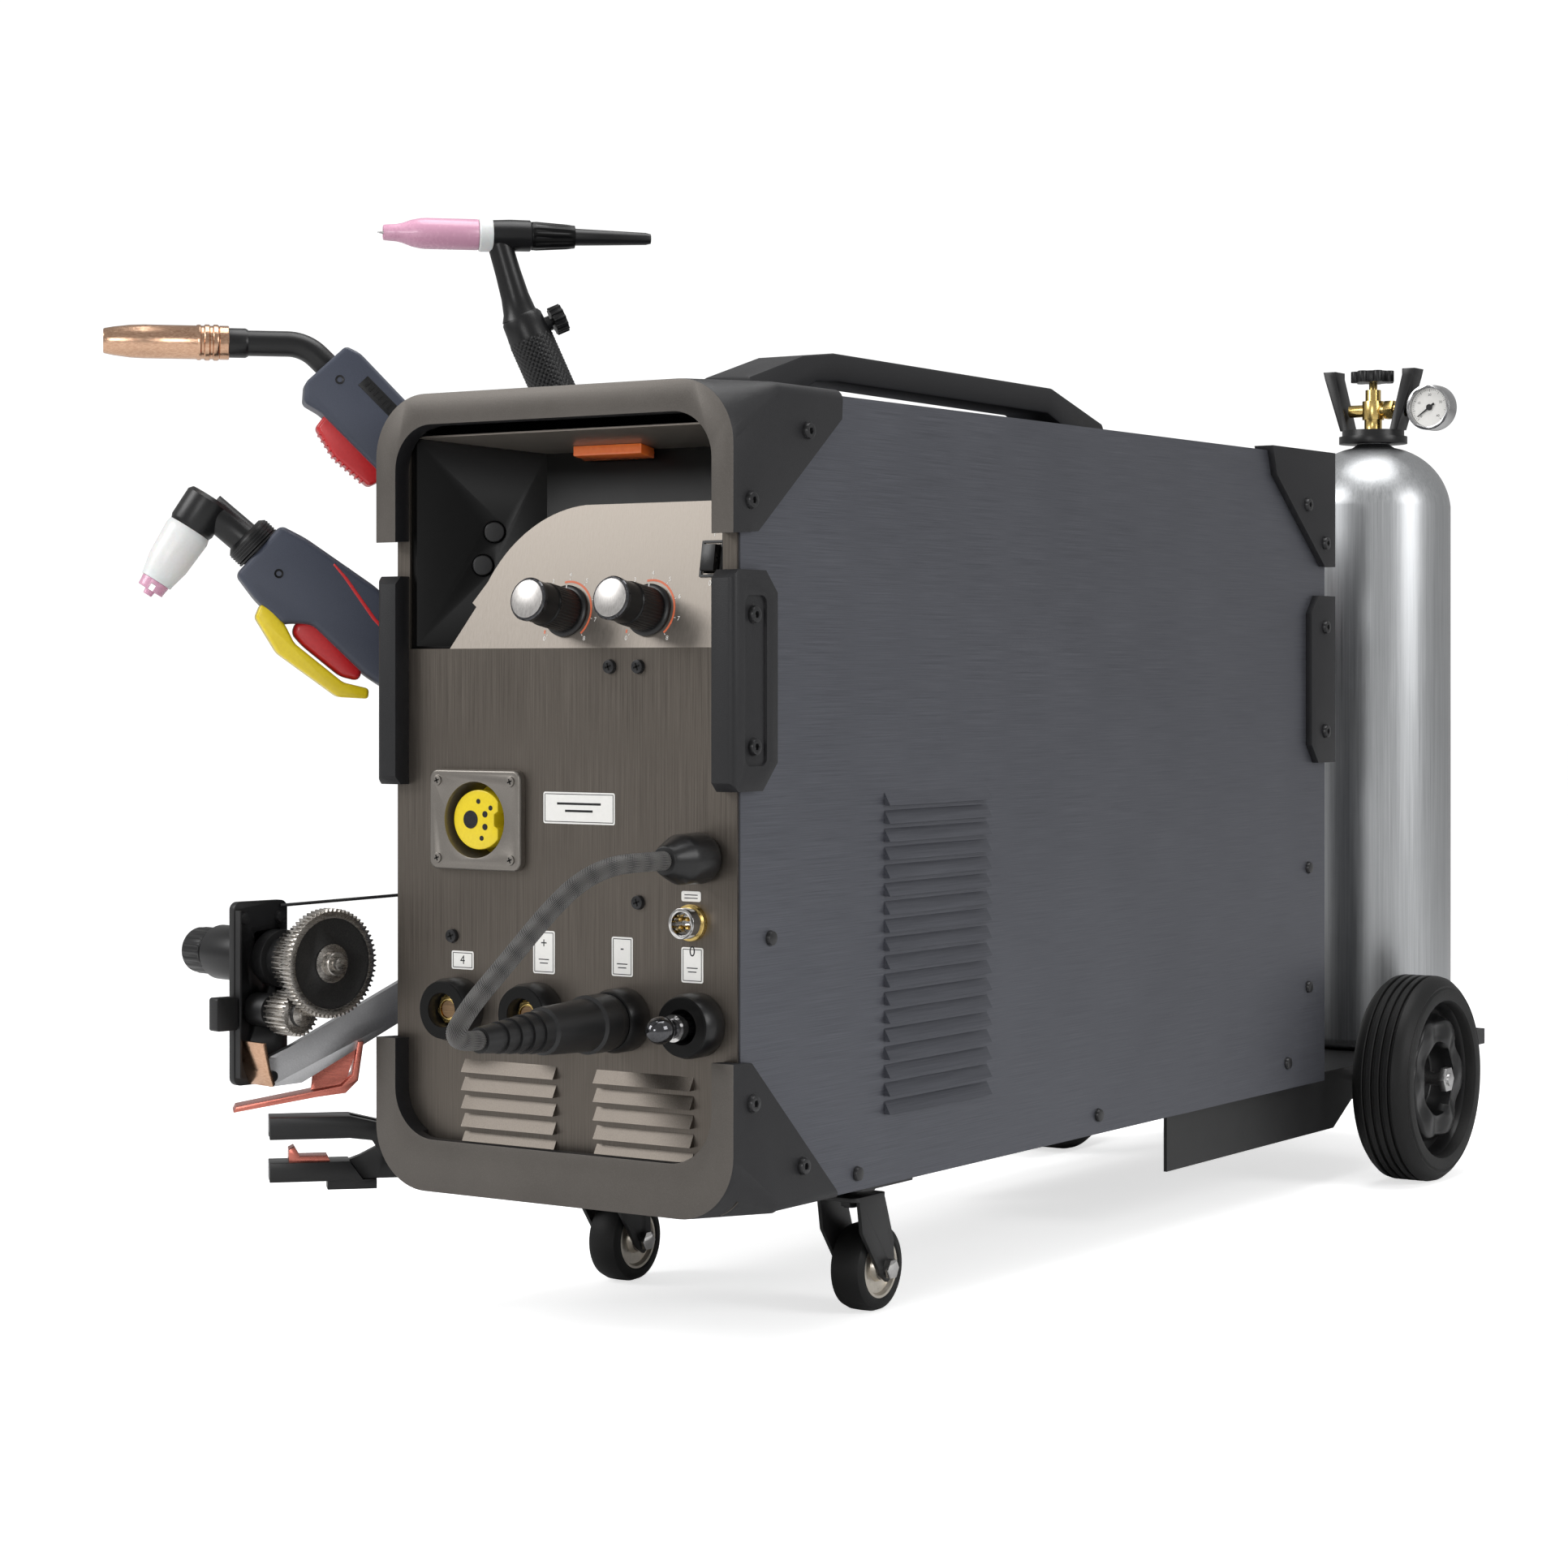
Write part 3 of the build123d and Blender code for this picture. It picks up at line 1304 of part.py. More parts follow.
with BuildPart() as plasma_handle:
    add(slab(plasma_grip, (
        (0, -27), (20, -31), (80, -41), (130, -41), (172, -36), (172, 2), (120, 12), (62, 10),
        (50, 26), (26, 27), (0, 21),
    ), 18, 8))
    tail_at = plasma_grip.from_local_coords((172, -17, 0))
    add(turned(tail_at, plasma_grip.x_dir, ((-5, 0), (-5, 9), (18, 9), (18, 0))))

trigger_pivot = (68.0, 17.0)
lever_pivot = (36.0, 31.0)
with BuildPart() as plasma_trigger:
    with BuildSketch(plasma_grip):
        with Locations(trigger_pivot):
            Circle(6.4)
        with BuildLine():
            Polyline((66, 15), (70, 13), (108, 14.5), (106, 24), (70, 25), (66, 20), close=True)
        make_face()
    extrude(amount=8, both=True)
save("plasma_trigger", plasma_trigger.part)

with BuildPart() as plasma_lever:
    with BuildSketch(plasma_grip):
        with BuildLine():
            Polyline(
                (33, 29), (52, 27.5), (66, 32), (112, 28), (128, 20), (130, 25), (114, 35), (64, 39.5),
                (36, 35), close=True,
            )
        make_face()
    extrude(amount=10, both=True)
    with BuildSketch(plasma_grip):
        with BuildLine():
            Polyline((33, 29), (52, 27.5), (60, 39), (40, 36), close=True)
        make_face()
        with Locations(lever_pivot):
            Circle(4.1)
    extrude(amount=14, both=True)
save("plasma_lever", plasma_lever.part)

tig_plane = torch_plane(-200, 292)
tig_z = 814.5
tig_start, tig_direction = along(tig_plane, (0, tig_z), (100, tig_z))
tig_grip = Plane(
    origin=tig_plane.from_local_coords((53, 750, 0)),
    x_dir=Vector(*torch_out) * -0.41 + Vector(0, 0, -0.912), z_dir=torch_normal,
)
tig_handle_radius = 17.5

with BuildPart() as tig_cup:
    add(turned(tig_start, tig_direction, (
        (87, 3), (87, 12.2), (130, 12.2), (139, 11.6), (150, 6.8), (162.4, 6), (162.4, 4.2),
        (150, 4.2), (130, 8), (95, 8), (95, 3),
    )))

with BuildPart() as tig_electrode:
    add(turned(tig_start, tig_direction, (
        (75.6, 0), (75.6, 1.6), (164, 1.6), (168, 0.3), (168, 0),
    )))

with BuildPart() as tig_ring:
    add(turned(tig_start, tig_direction, (
        (75.7, 3), (75.7, 12), (77, 13.4), (85.5, 13.4), (86.8, 12.4), (86.8, 3),
    )))

with BuildPart() as tig_body:
    add(turned(tig_start, tig_direction, (
        (44.6, 0), (44.6, 11), (46, 12), (60, 12), (75.5, 11.6), (75.5, 0),
    )))
    neck_from, neck_way = along(tig_plane, (62, 806), (54, 750))
    add(turned(neck_from, neck_way, ((0, 0), (0, 11), (30, 10), (50, 10.5), (57, 12), (57, 0))))
    add(turned(tig_grip.origin, tig_grip.x_dir, (
        (0, 0), (0, 15), (3, 16.5), (12, 16.5),
        (15, tig_handle_radius), (150, tig_handle_radius), (152, 16), (152, 9), (170, 9), (170, 0),
    )))
    knob_seat, knob_way = along(tig_plane, (46, 738), (46 - 0.912, 738 + 0.41))
    add(turned(knob_seat, knob_way, ((0, 0), (0, 6), (18.5, 6), (18.5, 3), (20, 3), (20, 0))))

with BuildPart() as tig_back_cap:
    add(turned(tig_start, tig_direction, (
        (44.4, 0), (44.4, 9.6), (40, 9.6), (36, 8.4), (-48, 4.8), (-51.9, 3.6), (-51.9, 0),
    )))

with BuildPart() as tig_valve_knob:
    with BuildSketch(axis_plane(knob_seat + knob_way.normalized() * 20.3, knob_way)):
        Circle(10.2)
        with PolarLocations(10.2, 12):
            Circle(1.4)
    extrude(amount=10)
save("tig_valve_knob", tig_valve_knob.part)

rack_plate = 3.0
rack_ring = 14.0
stub_hold = 9.0 + fit_gap
with BuildPart() as torch_rack:
    with BuildSketch(Plane.YZ.offset(-half_width)):
        with BuildLine():
            Polyline(
                (75, 395), (345, 395), (345, 625), (130, 625), (75, 598), close=True,
            )
        make_face()
        with Locations((210, 510)):
            Rectangle(110, 120, mode=Mode.SUBTRACT)
    extrude(amount=-rack_plate)
    for plane, local, direction in (
        (mig_grip, (160, 1), mig_grip.x_dir), (plasma_grip, (182, -17), plasma_grip.x_dir),
        (tig_grip, (162, 0), tig_grip.x_dir),
    ):
        ring = plane.from_local_coords((local[0], local[1], 0))
        with BuildSketch(Plane.YZ.offset(-half_width - rack_plate)):
            with Locations((ring.Y, ring.Z)):
                Rectangle(14, 12)
        extrude(amount=-(half_width + rack_plate + ring.X) * -1)
        add(turned(ring, direction, ((-6, 0), (-6, rack_ring), (6, rack_ring), (6, 0))))
    for plane, local, direction in (
        (mig_grip, (160, 1), mig_grip.x_dir), (plasma_grip, (182, -17), plasma_grip.x_dir),
        (tig_grip, (162, 0), tig_grip.x_dir),
    ):
        ring = plane.from_local_coords((local[0], local[1], 0))
        add(
            turned(ring, direction, ((-30, 0), (-30, stub_hold), (30, stub_hold), (30, 0))),
            mode=Mode.SUBTRACT,
        )

# ---- wire drive, carried off the left side by an arm; its shafts share one direction
turned_by = math.radians(drive_turn)
shaft_way = (math.cos(turned_by), -math.sin(turned_by), 0)
drive_plane = Plane(
    origin=(-177, -38, 258), x_dir=(math.sin(turned_by), math.cos(turned_by), 0), z_dir=shaft_way
)
gear_radius = gear_module * gear_teeth / 2
helical_radius = gear_module * helical_teeth / 2
pinion_radius = gear_module * pinion_teeth / 2
mesh_distance = helical_radius + pinion_radius
pinion_angle = math.radians(246)
pinion_at = (mesh_distance * math.cos(pinion_angle), mesh_distance * math.sin(pinion_angle))
shaft_radius = 5.0
pinion_shaft = 4.0
plate_back = -76.0
plate_front = -70.0


def gear_outline(teeth, module, phase):
    """Corner points of a toothed wheel, four to each tooth."""
    pitch = teeth * module / 2
    points = []
    for tooth in range(teeth):
        middle = phase + 2 * math.pi * tooth / teeth
        for share, radius in (
            (-0.30, pitch - 1.15 * module), (-0.12, pitch + 0.7 * module),
            (0.12, pitch + 0.7 * module), (0.30, pitch - 1.15 * module),
        ):
            angle = middle + share * 2 * math.pi / teeth
            points.append((radius * math.cos(angle), radius * math.sin(angle)))
    return points


with BuildPart() as drive_gear:
    with BuildSketch(drive_plane.offset(-10)):
        Polygon(*gear_outline(gear_teeth, gear_module, 0), align=None)
    extrude(amount=10)
    with BuildSketch(drive_plane):
        Circle(gear_radius - 6)
        Circle(14, mode=Mode.SUBTRACT)
    extrude(amount=-2, mode=Mode.SUBTRACT)
    with BuildSketch(drive_plane):
        Circle(9)
    extrude(amount=4)
    with BuildSketch(drive_plane.offset(plate_front - 4)):
        Circle(shaft_radius)
    extrude(amount=-plate_front + 4 + 11)
    with BuildSketch(drive_plane.offset(-40)):
        Polygon(*gear_outline(helical_teeth, gear_module, 0), align=None)
    extrude(amount=24)
    with BuildSketch(drive_plane.offset(-17)):
        Circle(16)
    extrude(amount=8)
save("drive_gear", drive_gear.part)

facing = pinion_angle + math.pi
pinion_pitch = 2 * math.pi / pinion_teeth
meshing = pinion_angle / (2 * math.pi / helical_teeth)
pinion_phase = facing + (meshing - math.floor(meshing) - 0.5) * pinion_pitch
with BuildPart() as pinion_gear:
    with BuildSketch(drive_plane.offset(-39)):
        with Locations(pinion_at):
            Polygon(*gear_outline(pinion_teeth, gear_module, pinion_phase), align=None)
    extrude(amount=22)
    with BuildSketch(drive_plane.offset(-18)):
        with Locations(pinion_at):
            Circle(9)
    extrude(amount=5)
    with BuildSketch(drive_plane.offset(plate_front - 4)):
        with Locations(pinion_at):
            Circle(pinion_shaft)
    extrude(amount=-plate_front + 4 - 12)
save("pinion_gear", pinion_gear.part)

plate_u = (-36.0, 11.0)
plate_v = (-91.0, 42.0)
with BuildPart() as feeder_plate:
    with BuildSketch(drive_plane.offset(plate_back)):
        with Locations(((plate_u[0] + plate_u[1]) / 2, (plate_v[0] + plate_v[1]) / 2)):
            RectangleRounded(plate_u[1] - plate_u[0], plate_v[1] - plate_v[0], 6)
        Circle(shaft_radius + run_gap, mode=Mode.SUBTRACT)
        with Locations(pinion_at):
            Circle(pinion_shaft + run_gap, mode=Mode.SUBTRACT)
    extrude(amount=plate_front - plate_back)
    with BuildSketch(drive_plane.offset(plate_front)):
        with Locations((plate_u[0] + 1, (plate_v[0] + plate_v[1]) / 2)):
            Rectangle(2, plate_v[1] - plate_v[0] - 12, align=(Align.MIN, Align.CENTER))
    extrude(amount=6)
    with BuildSketch(drive_plane.offset(plate_back + 1)):
        with Locations((plate_u[0], -38)):
            RectangleRounded(18, 24, 2, align=(Align.MAX, Align.CENTER))
    extrude(amount=10)

with BuildPart() as bearing_housing:
    with BuildSketch(drive_plane.offset(plate_front)):
        Circle(21)
        Circle(shaft_radius + run_gap, mode=Mode.SUBTRACT)
    extrude(amount=12)
    with BuildSketch(drive_plane.offset(plate_front + 12)):
        Circle(16)
        Circle(shaft_radius + run_gap, mode=Mode.SUBTRACT)
    extrude(amount=8)
    with BuildSketch(drive_plane.offset(plate_front + 20)):
        Circle(19)
        Circle(shaft_radius + run_gap, mode=Mode.SUBTRACT)
    extrude(amount=8)
    with BuildSketch(drive_plane.offset(plate_front)):
        with Locations(pinion_at):
            Circle(12)
            Circle(pinion_shaft + run_gap, mode=Mode.SUBTRACT)
    extrude(amount=22)

motor_at = drive_plane.from_local_coords((-12, 2, plate_back))
motor_way = (-shaft_way[0], -shaft_way[1], 0)
with BuildPart() as feeder_motor:
    add(turned(motor_at, motor_way, (
        (0, 0), (0, 18), (3, 18), (3, 20), (44, 20), (46, 18), (46, 14), (50, 14), (50, 16.5),
        (72, 16.5), (74, 14), (74, 0),
    )))

arm_low = drive_plane.from_local_coords((-4, -78, plate_front + 14))
arm_foot_y = 96.0
arm_foot_z = 252.0
arm_high = Vector(-half_width - 12, arm_foot_y - 12, arm_foot_z - 4)
arm_way = arm_high - arm_low
arm_flat = Vector(arm_way.X, arm_way.Y, 0).normalized()
arm_plane = Plane(origin=arm_low, x_dir=arm_flat, z_dir=arm_flat.cross(Vector(0, 0, 1)))
arm_reach = math.hypot(arm_way.X, arm_way.Y)

with BuildPart() as feeder_arm:
    with BuildSketch(arm_plane):
        with BuildLine():
            Polyline(
                (-10, -14), (14, -12), (arm_reach, arm_way.Z - 14), (arm_reach + 6, arm_way.Z - 14),
                (arm_reach + 6, arm_way.Z + 12), (arm_reach - 6, arm_way.Z + 12), (4, 14), (-10, 8),
                close=True,
            )
        make_face()
    extrude(amount=4, both=True)
    with BuildSketch(Plane.YZ.offset(-half_width)):
        with Locations((arm_foot_y, arm_foot_z)):
            RectangleRounded(46, 54, 5)
    extrude(amount=-12)
    with BuildSketch(drive_plane.offset(plate_front)):
        with Locations((-8, -80)):
            RectangleRounded(24, 18, 3)
    extrude(amount=16)

with BuildPart() as feeder_bolts:
    for u, v in ((-15, -84), (-28, 30), (4, 30)):
        with BuildSketch(drive_plane.offset(plate_front + (16 if v < 0 else 0))):
            with Locations((u, v)):
                Circle(4.4)
        extrude(amount=3.4, taper=8)

rod_radius = 1.2
rod_from = drive_plane.from_local_coords((4, 38, plate_front + rod_radius))
rod_to = Vector(-half_width, 110, 306)
rod_length = (rod_to - rod_from).length - 1
with BuildPart() as wire_guide_rod:
    add(turned(rod_from, rod_to - rod_from, (
        (0, 0), (0, rod_radius), (rod_length, rod_radius), (rod_length, 0),
    )))

# ---- copper current shoe below the drive
shoe_plane = torch_plane(-168, 60)
with BuildPart() as current_shoe:
    with BuildSketch(shoe_plane):
        with BuildLine():
            Polyline(
                (144, 146.5), (142, 150.5), (84, 161), (66, 164), (58, 172), (54, 196), (50, 196),
                (54, 168), (63, 159), (84, 156.5), close=True,
            )
        make_face()
    extrude(amount=13, both=True)
    with BuildSketch(shoe_plane):
        with BuildLine():
            Polyline((88, 157.5), (84, 196), (66, 199), (52.5, 194), (64, 161), close=True)
        make_face()
    extrude(amount=1.5)

scoop_plane = drive_plane.offset(plate_front)
with BuildPart() as wire_scoop:
    with BuildSketch(scoop_plane):
        with BuildLine():
            Polyline(
                (-32, -58), (-29, -58), (-25, -78), (-21, -88), (-23, -90), (-27, -80), close=True,
            )
        make_face()
    extrude(amount=30)

# ---- earth clamp on a bracket low on the left side
clamp_plane = shoe_plane
pivot = (28.0, 119.0)
pivot_radius = 4.0
jaw_half = 14.0
with BuildPart() as earth_clamp_base:
    with BuildSketch(clamp_plane):
        with BuildLine():
            Polyline(
                (118, 95), (118, 109), (60, 109), (52, 112), (38, 119), (34, 127), (22, 127),
                (16, 119), (16, 100), (24, 95), close=True,
            )
        make_face()
        with Locations(pivot):
            Circle(pivot_radius + run_gap, mode=Mode.SUBTRACT)
    extrude(amount=5, both=True)
    with BuildSketch(clamp_plane):
        with BuildLine():
            Polyline((118, 95), (118, 109), (60, 109), (50, 95), close=True)
        make_face()
    extrude(amount=jaw_half, both=True)
    with BuildSketch(clamp_plane):
        with BuildLine():
            Polyline((76, 88), (76, 95), (40, 95), (40, 88), close=True)
        make_face()
    extrude(amount=9, both=True)
    clamp_bracket_z = 108.0
    bracket_tip = clamp_plane.from_local_coords((17, clamp_bracket_z, 0))
    with BuildSketch(Plane.YZ.offset(-guard_x)):
        with Locations((bracket_tip.Y + 16, clamp_bracket_z + 5)):
            Rectangle(44, 12)
    extrude(amount=-3)
    with BuildSketch(Plane.YZ.offset(-guard_x - 3)):
        with Locations((bracket_tip.Y, clamp_bracket_z)):
            Rectangle(9, 7.4)
    extrude(amount=bracket_tip.X + guard_x + 3)

with BuildPart() as clamp_pin:
    pin_start = clamp_plane.offset(-jaw_half - 4).from_local_coords((pivot[0], pivot[1], 0))
    add(turned(pin_start, torch_normal, (
        (0, 0), (0, 6.5), (3, 6.5), (3, pivot_radius), (2 * jaw_half + 5, pivot_radius),
        (2 * jaw_half + 5, 6.5), (2 * jaw_half + 8, 6.5), (2 * jaw_half + 8, 0),
    )))

with BuildPart() as clamp_jaw:
    for side in (-1, 1):
        with BuildSketch(clamp_plane.offset(side * 5.4)):
            with BuildLine():
                Polyline(
                    (118, 126), (118, 142), (60, 142), (36, 136), (8, 150), (2, 146), (16, 130),
                    (20, 112), (36, 112), (44, 124), (60, 126), close=True,
                )
            make_face()
            with Locations(pivot):
                Circle(pivot_radius + run_gap, mode=Mode.SUBTRACT)
        extrude(amount=side * (jaw_half - 5.4))
    with BuildSketch(clamp_plane):
        with BuildLine():
            Polyline((118, 130), (118, 142), (60, 142), (56, 138), (60, 130), close=True)
        make_face()
    extrude(amount=5.4, both=True)
save("clamp_jaw", clamp_jaw.part)

with BuildPart() as clamp_contacts:
    with BuildSketch(clamp_plane):
        with BuildLine():
            Polyline((104, 109), (104, 118), (100, 120), (96, 113), (76, 113), (74, 109), close=True)
        make_face()
    extrude(amount=10, both=True)

# ---- what the housing holds
divider_x = -20.0
with BuildPart() as divider_wall:
    with BuildSketch(Plane.YZ.offset(divider_x)):
        with Locations(((80 + rear_y) / 2, (body_bottom + 2 + 640) / 2)):
            Rectangle(rear_y - 80, 640 - body_bottom - 2)
    extrude(amount=sheet)

spool_y = 620.0
spool_z = 330.0
hub_radius = 25.0
spool_width = 54.0
with BuildPart() as spool_hub:
    with BuildSketch(Plane.YZ.offset(divider_x)):
        with Locations((spool_y, spool_z)):
            Circle(30)
    extrude(amount=-8)
    with BuildSketch(Plane.YZ.offset(divider_x - 8)):
        with Locations((spool_y, spool_z)):
            Circle(hub_radius)
    extrude(amount=-spool_width - 4)

with BuildPart() as wire_spool:
    add(turned((divider_x - 10, spool_y, spool_z), (-1, 0, 0), (
        (0, hub_radius + run_gap), (0, 98), (3, 100), (5, 96), (5, 80), (spool_width - 5, 80),
        (spool_width - 5, 96), (spool_width - 3, 100), (spool_width, 98),
        (spool_width, hub_radius + run_gap),
    )))
save("wire_spool", wire_spool.part)

with BuildPart() as power_module:
    with BuildSketch(Plane.XY.offset(body_bottom + 2)):
        with Locations((66, 420)):
            Rectangle(120, 150)
        with Locations((66, 620)):
            Rectangle(110, 130)
    extrude(amount=120)
    with BuildSketch(Plane.XY.offset(body_bottom + 122)):
        with Locations((66, 420)):
            Rectangle(118, 150)
            with GridLocations(12, 1, 9, 1):
                Rectangle(4, 152, mode=Mode.SUBTRACT)
    extrude(amount=60)

fan_depth = 25.0
fan_hub = 18.0
fan_blade = 52.0
with BuildPart() as fan_frame:
    with BuildSketch(y_plane(rear_y)):
        with Locations((fan_x, fan_z)):
            RectangleRounded(fan_size, fan_size, 8)
            Circle(fan_blade + 3, mode=Mode.SUBTRACT)
    extrude(amount=fan_depth)
    with BuildSketch(y_plane(rear_y)):
        with Locations((fan_x, fan_z)):
            Circle(fan_hub)
            Rectangle(2 * fan_blade + 8, 5)
    extrude(amount=4)
    with BuildSketch(y_plane(rear_y - 4)):
        with Locations((fan_x, fan_z)):
            Circle(3)
    extrude(amount=18)

with BuildPart() as fan_rotor:
    with BuildSketch(y_plane(rear_y - 5)):
        with Locations((fan_x, fan_z)):
            Circle(fan_hub)
            with PolarLocations(0, 7):
                with Locations((fan_hub + 16, 0)):
                    Rectangle(2 * (fan_blade - fan_hub - 16), 14)
            Circle(3 + run_gap, mode=Mode.SUBTRACT)
    extrude(amount=15)
save("fan_rotor", fan_rotor.part)

with BuildPart() as power_switch:
    with BuildSketch(Plane.YZ.offset(switch_x)):
        with BuildLine():
            Polyline(
                (rear_y - 8, switch_z - switch_half), (body_length + 4, switch_z - switch_half),
                (body_length + 1.5, switch_z), (body_length + 4, switch_z + switch_half),
                (rear_y - 8, switch_z + switch_half), close=True,
            )
        make_face()
        with Locations((body_length - 1.5, switch_z)):
            Circle(pivot_bore, mode=Mode.SUBTRACT)
    extrude(amount=switch_wide / 2 - fit_gap, both=True)
save("power_switch", power_switch.part)

with BuildPart() as rear_inlets:
    add(turned((inlet_x, body_length, inlet_z), (0, 1, 0), (
        (-12, 5), (-12, 11 - run_gap), (0, 11 - run_gap), (0, 16), (8, 16), (8, 13), (22, 11),
        (22, 5),
    )))
    add(turned((inlet_x, body_length, gas_inlet_z), (0, 1, 0), (
        (-12, 2), (-12, 6 - run_gap), (0, 6 - run_gap), (0, 9), (6, 9), (6, 4.6), (12, 4.6),
        (12, 5.2), (18, 4.2), (24, 3.6), (24, 2),
    )))

# ---- nodes that hold several separate solids
save("side_panels", side_panel_right.part, side_panel_left.part)
save("front_bumpers", hood_bumper.part, lower_bumper.part)
save("side_guards", front_side_guards_pair, rear_guards_pair)
save("control_recess", control_recess.part, hood_ceiling.part)
save("control_panel", control_panel.part, label_plates.part)
save("socket_shells", socket_shells.part, lead_boot.part)
save("pipe_couplings", control_connector.part, gas_coupling.part, rear_inlets.part)
save("case_screws", guard_screws_pair, panel_screws.part, feeder_bolts.part)
save("axle_and_caster_mounts", rear_axle.part, caster_plates.part)
save("mig_nozzle", mig_nozzle.part, mig_contact_tip.part)
save("mig_handle", mig_neck.part, mig_handle.part)
save("plasma_cup", plasma_cup.part, plasma_tip.part)
save("plasma_handle", plasma_head.part, plasma_handle.part)
save("tig_cup", tig_cup.part, tig_electrode.part, tig_ring.part)
save("tig_body", tig_body.part, tig_back_cap.part)
save("torch_rack", torch_rack.part, cylinder_bracket.part)
save("wire_drive_frame", feeder_plate.part, bearing_housing.part, feeder_motor.part)
save("feeder_arm", feeder_arm.part, wire_guide_rod.part, current_shoe.part, wire_scoop.part)
save("earth_clamp_base", earth_clamp_base.part, clamp_pin.part, clamp_contacts.part)
save("power_module", power_module.part, fan_frame.part)
save("divider_wall", divider_wall.part, spool_hub.part)
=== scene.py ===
import json
import math
import bpy
import bmesh
from mathutils import Matrix, Vector

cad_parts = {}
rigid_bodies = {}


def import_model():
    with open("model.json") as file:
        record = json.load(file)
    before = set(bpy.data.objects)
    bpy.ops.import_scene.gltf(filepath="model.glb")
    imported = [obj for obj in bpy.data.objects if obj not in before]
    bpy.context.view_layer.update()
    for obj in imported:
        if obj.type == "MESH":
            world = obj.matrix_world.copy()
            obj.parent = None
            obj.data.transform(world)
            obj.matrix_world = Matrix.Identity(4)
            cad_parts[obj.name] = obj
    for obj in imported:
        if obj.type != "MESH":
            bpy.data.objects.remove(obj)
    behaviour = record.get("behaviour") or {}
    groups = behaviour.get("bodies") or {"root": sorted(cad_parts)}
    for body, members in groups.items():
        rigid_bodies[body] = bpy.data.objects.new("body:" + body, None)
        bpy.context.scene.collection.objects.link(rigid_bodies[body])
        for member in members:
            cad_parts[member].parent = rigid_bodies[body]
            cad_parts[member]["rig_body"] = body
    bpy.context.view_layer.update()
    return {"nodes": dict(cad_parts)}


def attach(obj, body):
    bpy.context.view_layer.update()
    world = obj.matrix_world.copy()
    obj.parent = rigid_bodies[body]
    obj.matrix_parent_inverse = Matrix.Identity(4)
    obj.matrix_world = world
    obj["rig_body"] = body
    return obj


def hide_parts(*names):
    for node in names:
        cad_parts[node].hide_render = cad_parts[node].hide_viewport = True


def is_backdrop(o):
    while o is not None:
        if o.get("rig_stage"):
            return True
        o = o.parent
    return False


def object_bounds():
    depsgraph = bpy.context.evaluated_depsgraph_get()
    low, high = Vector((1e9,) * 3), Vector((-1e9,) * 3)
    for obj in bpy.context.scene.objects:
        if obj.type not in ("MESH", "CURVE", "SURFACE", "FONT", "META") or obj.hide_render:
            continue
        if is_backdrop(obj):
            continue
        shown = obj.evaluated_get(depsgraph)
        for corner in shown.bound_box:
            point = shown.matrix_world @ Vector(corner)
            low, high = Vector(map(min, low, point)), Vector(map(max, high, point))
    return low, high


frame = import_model()
nodes = frame["nodes"]
scene = bpy.context.scene
mm = 0.001
print("frame loaded:", len(nodes), "nodes")

# camera: level, with a little shift because the horizon sits above the middle
cameraPlan = {"place": (1.4301, -1.8498, 0.4644), "turn": 33.912, "lens": 77.066, "shift": -0.0696}
cameraData = bpy.data.cameras.new("studioCamera")
cameraData.lens = cameraPlan["lens"]
cameraData.sensor_width = 36
cameraData.shift_y = cameraPlan["shift"]
cameraData.clip_end = 60
camera = bpy.data.objects.new("studioCamera", cameraData)
scene.collection.objects.link(camera)
camera.location = cameraPlan["place"]
camera.rotation_euler = (math.radians(90), 0, math.radians(cameraPlan["turn"]))
scene.camera = camera
scene.view_settings.view_transform = "Standard"
print("camera placed")


def newGroup(name, inputs, outputs):
    group = bpy.data.node_groups.new(name, "ShaderNodeTree")
    for label, kind, value in inputs:
        socket = group.interface.new_socket(name=label, in_out="INPUT", socket_type=kind)
        socket.default_value = value
    for label, kind in outputs:
        group.interface.new_socket(name=label, in_out="OUTPUT", socket_type=kind)
    return group, group.nodes.new("NodeGroupInput"), group.nodes.new("NodeGroupOutput")


def addNode(tree, kind, values=None, **settings):
    node = tree.nodes.new(kind)
    for key, value in settings.items():
        setattr(node, key, value)
    for socket, value in (values or {}).items():
        node.inputs[socket].default_value = value
    return node


def finishOutputs():
    return [("Color", "NodeSocketColor"), ("Roughness", "NodeSocketFloat"), ("Height", "NodeSocketFloat")]


def grainInputs():
    return [
        ("Dark", "NodeSocketColor", (0.1, 0.1, 0.1, 1)), ("Light", "NodeSocketColor", (0.2, 0.2, 0.2, 1)),
        ("Stretch", "NodeSocketVector", (1, 1, 1)), ("Smooth", "NodeSocketFloat", 0.3),
        ("Rough", "NodeSocketFloat", 0.5),
    ]


def mixTone(group, start, end, tone, height):
    # the tone runs from dark to light, and from smooth to rough
    color = addNode(group, "ShaderNodeMix", data_type="RGBA")
    group.links.new(tone, color.inputs[0])
    group.links.new(start.outputs["Dark"], color.inputs[6])
    group.links.new(start.outputs["Light"], color.inputs[7])
    rough = addNode(group, "ShaderNodeMapRange")
    group.links.new(tone, rough.inputs["Value"])
    group.links.new(start.outputs["Smooth"], rough.inputs["To Min"])
    group.links.new(start.outputs["Rough"], rough.inputs["To Max"])
    group.links.new(color.outputs[2], end.inputs["Color"])
    group.links.new(rough.outputs["Result"], end.inputs["Roughness"])
    group.links.new(height, end.inputs["Height"])


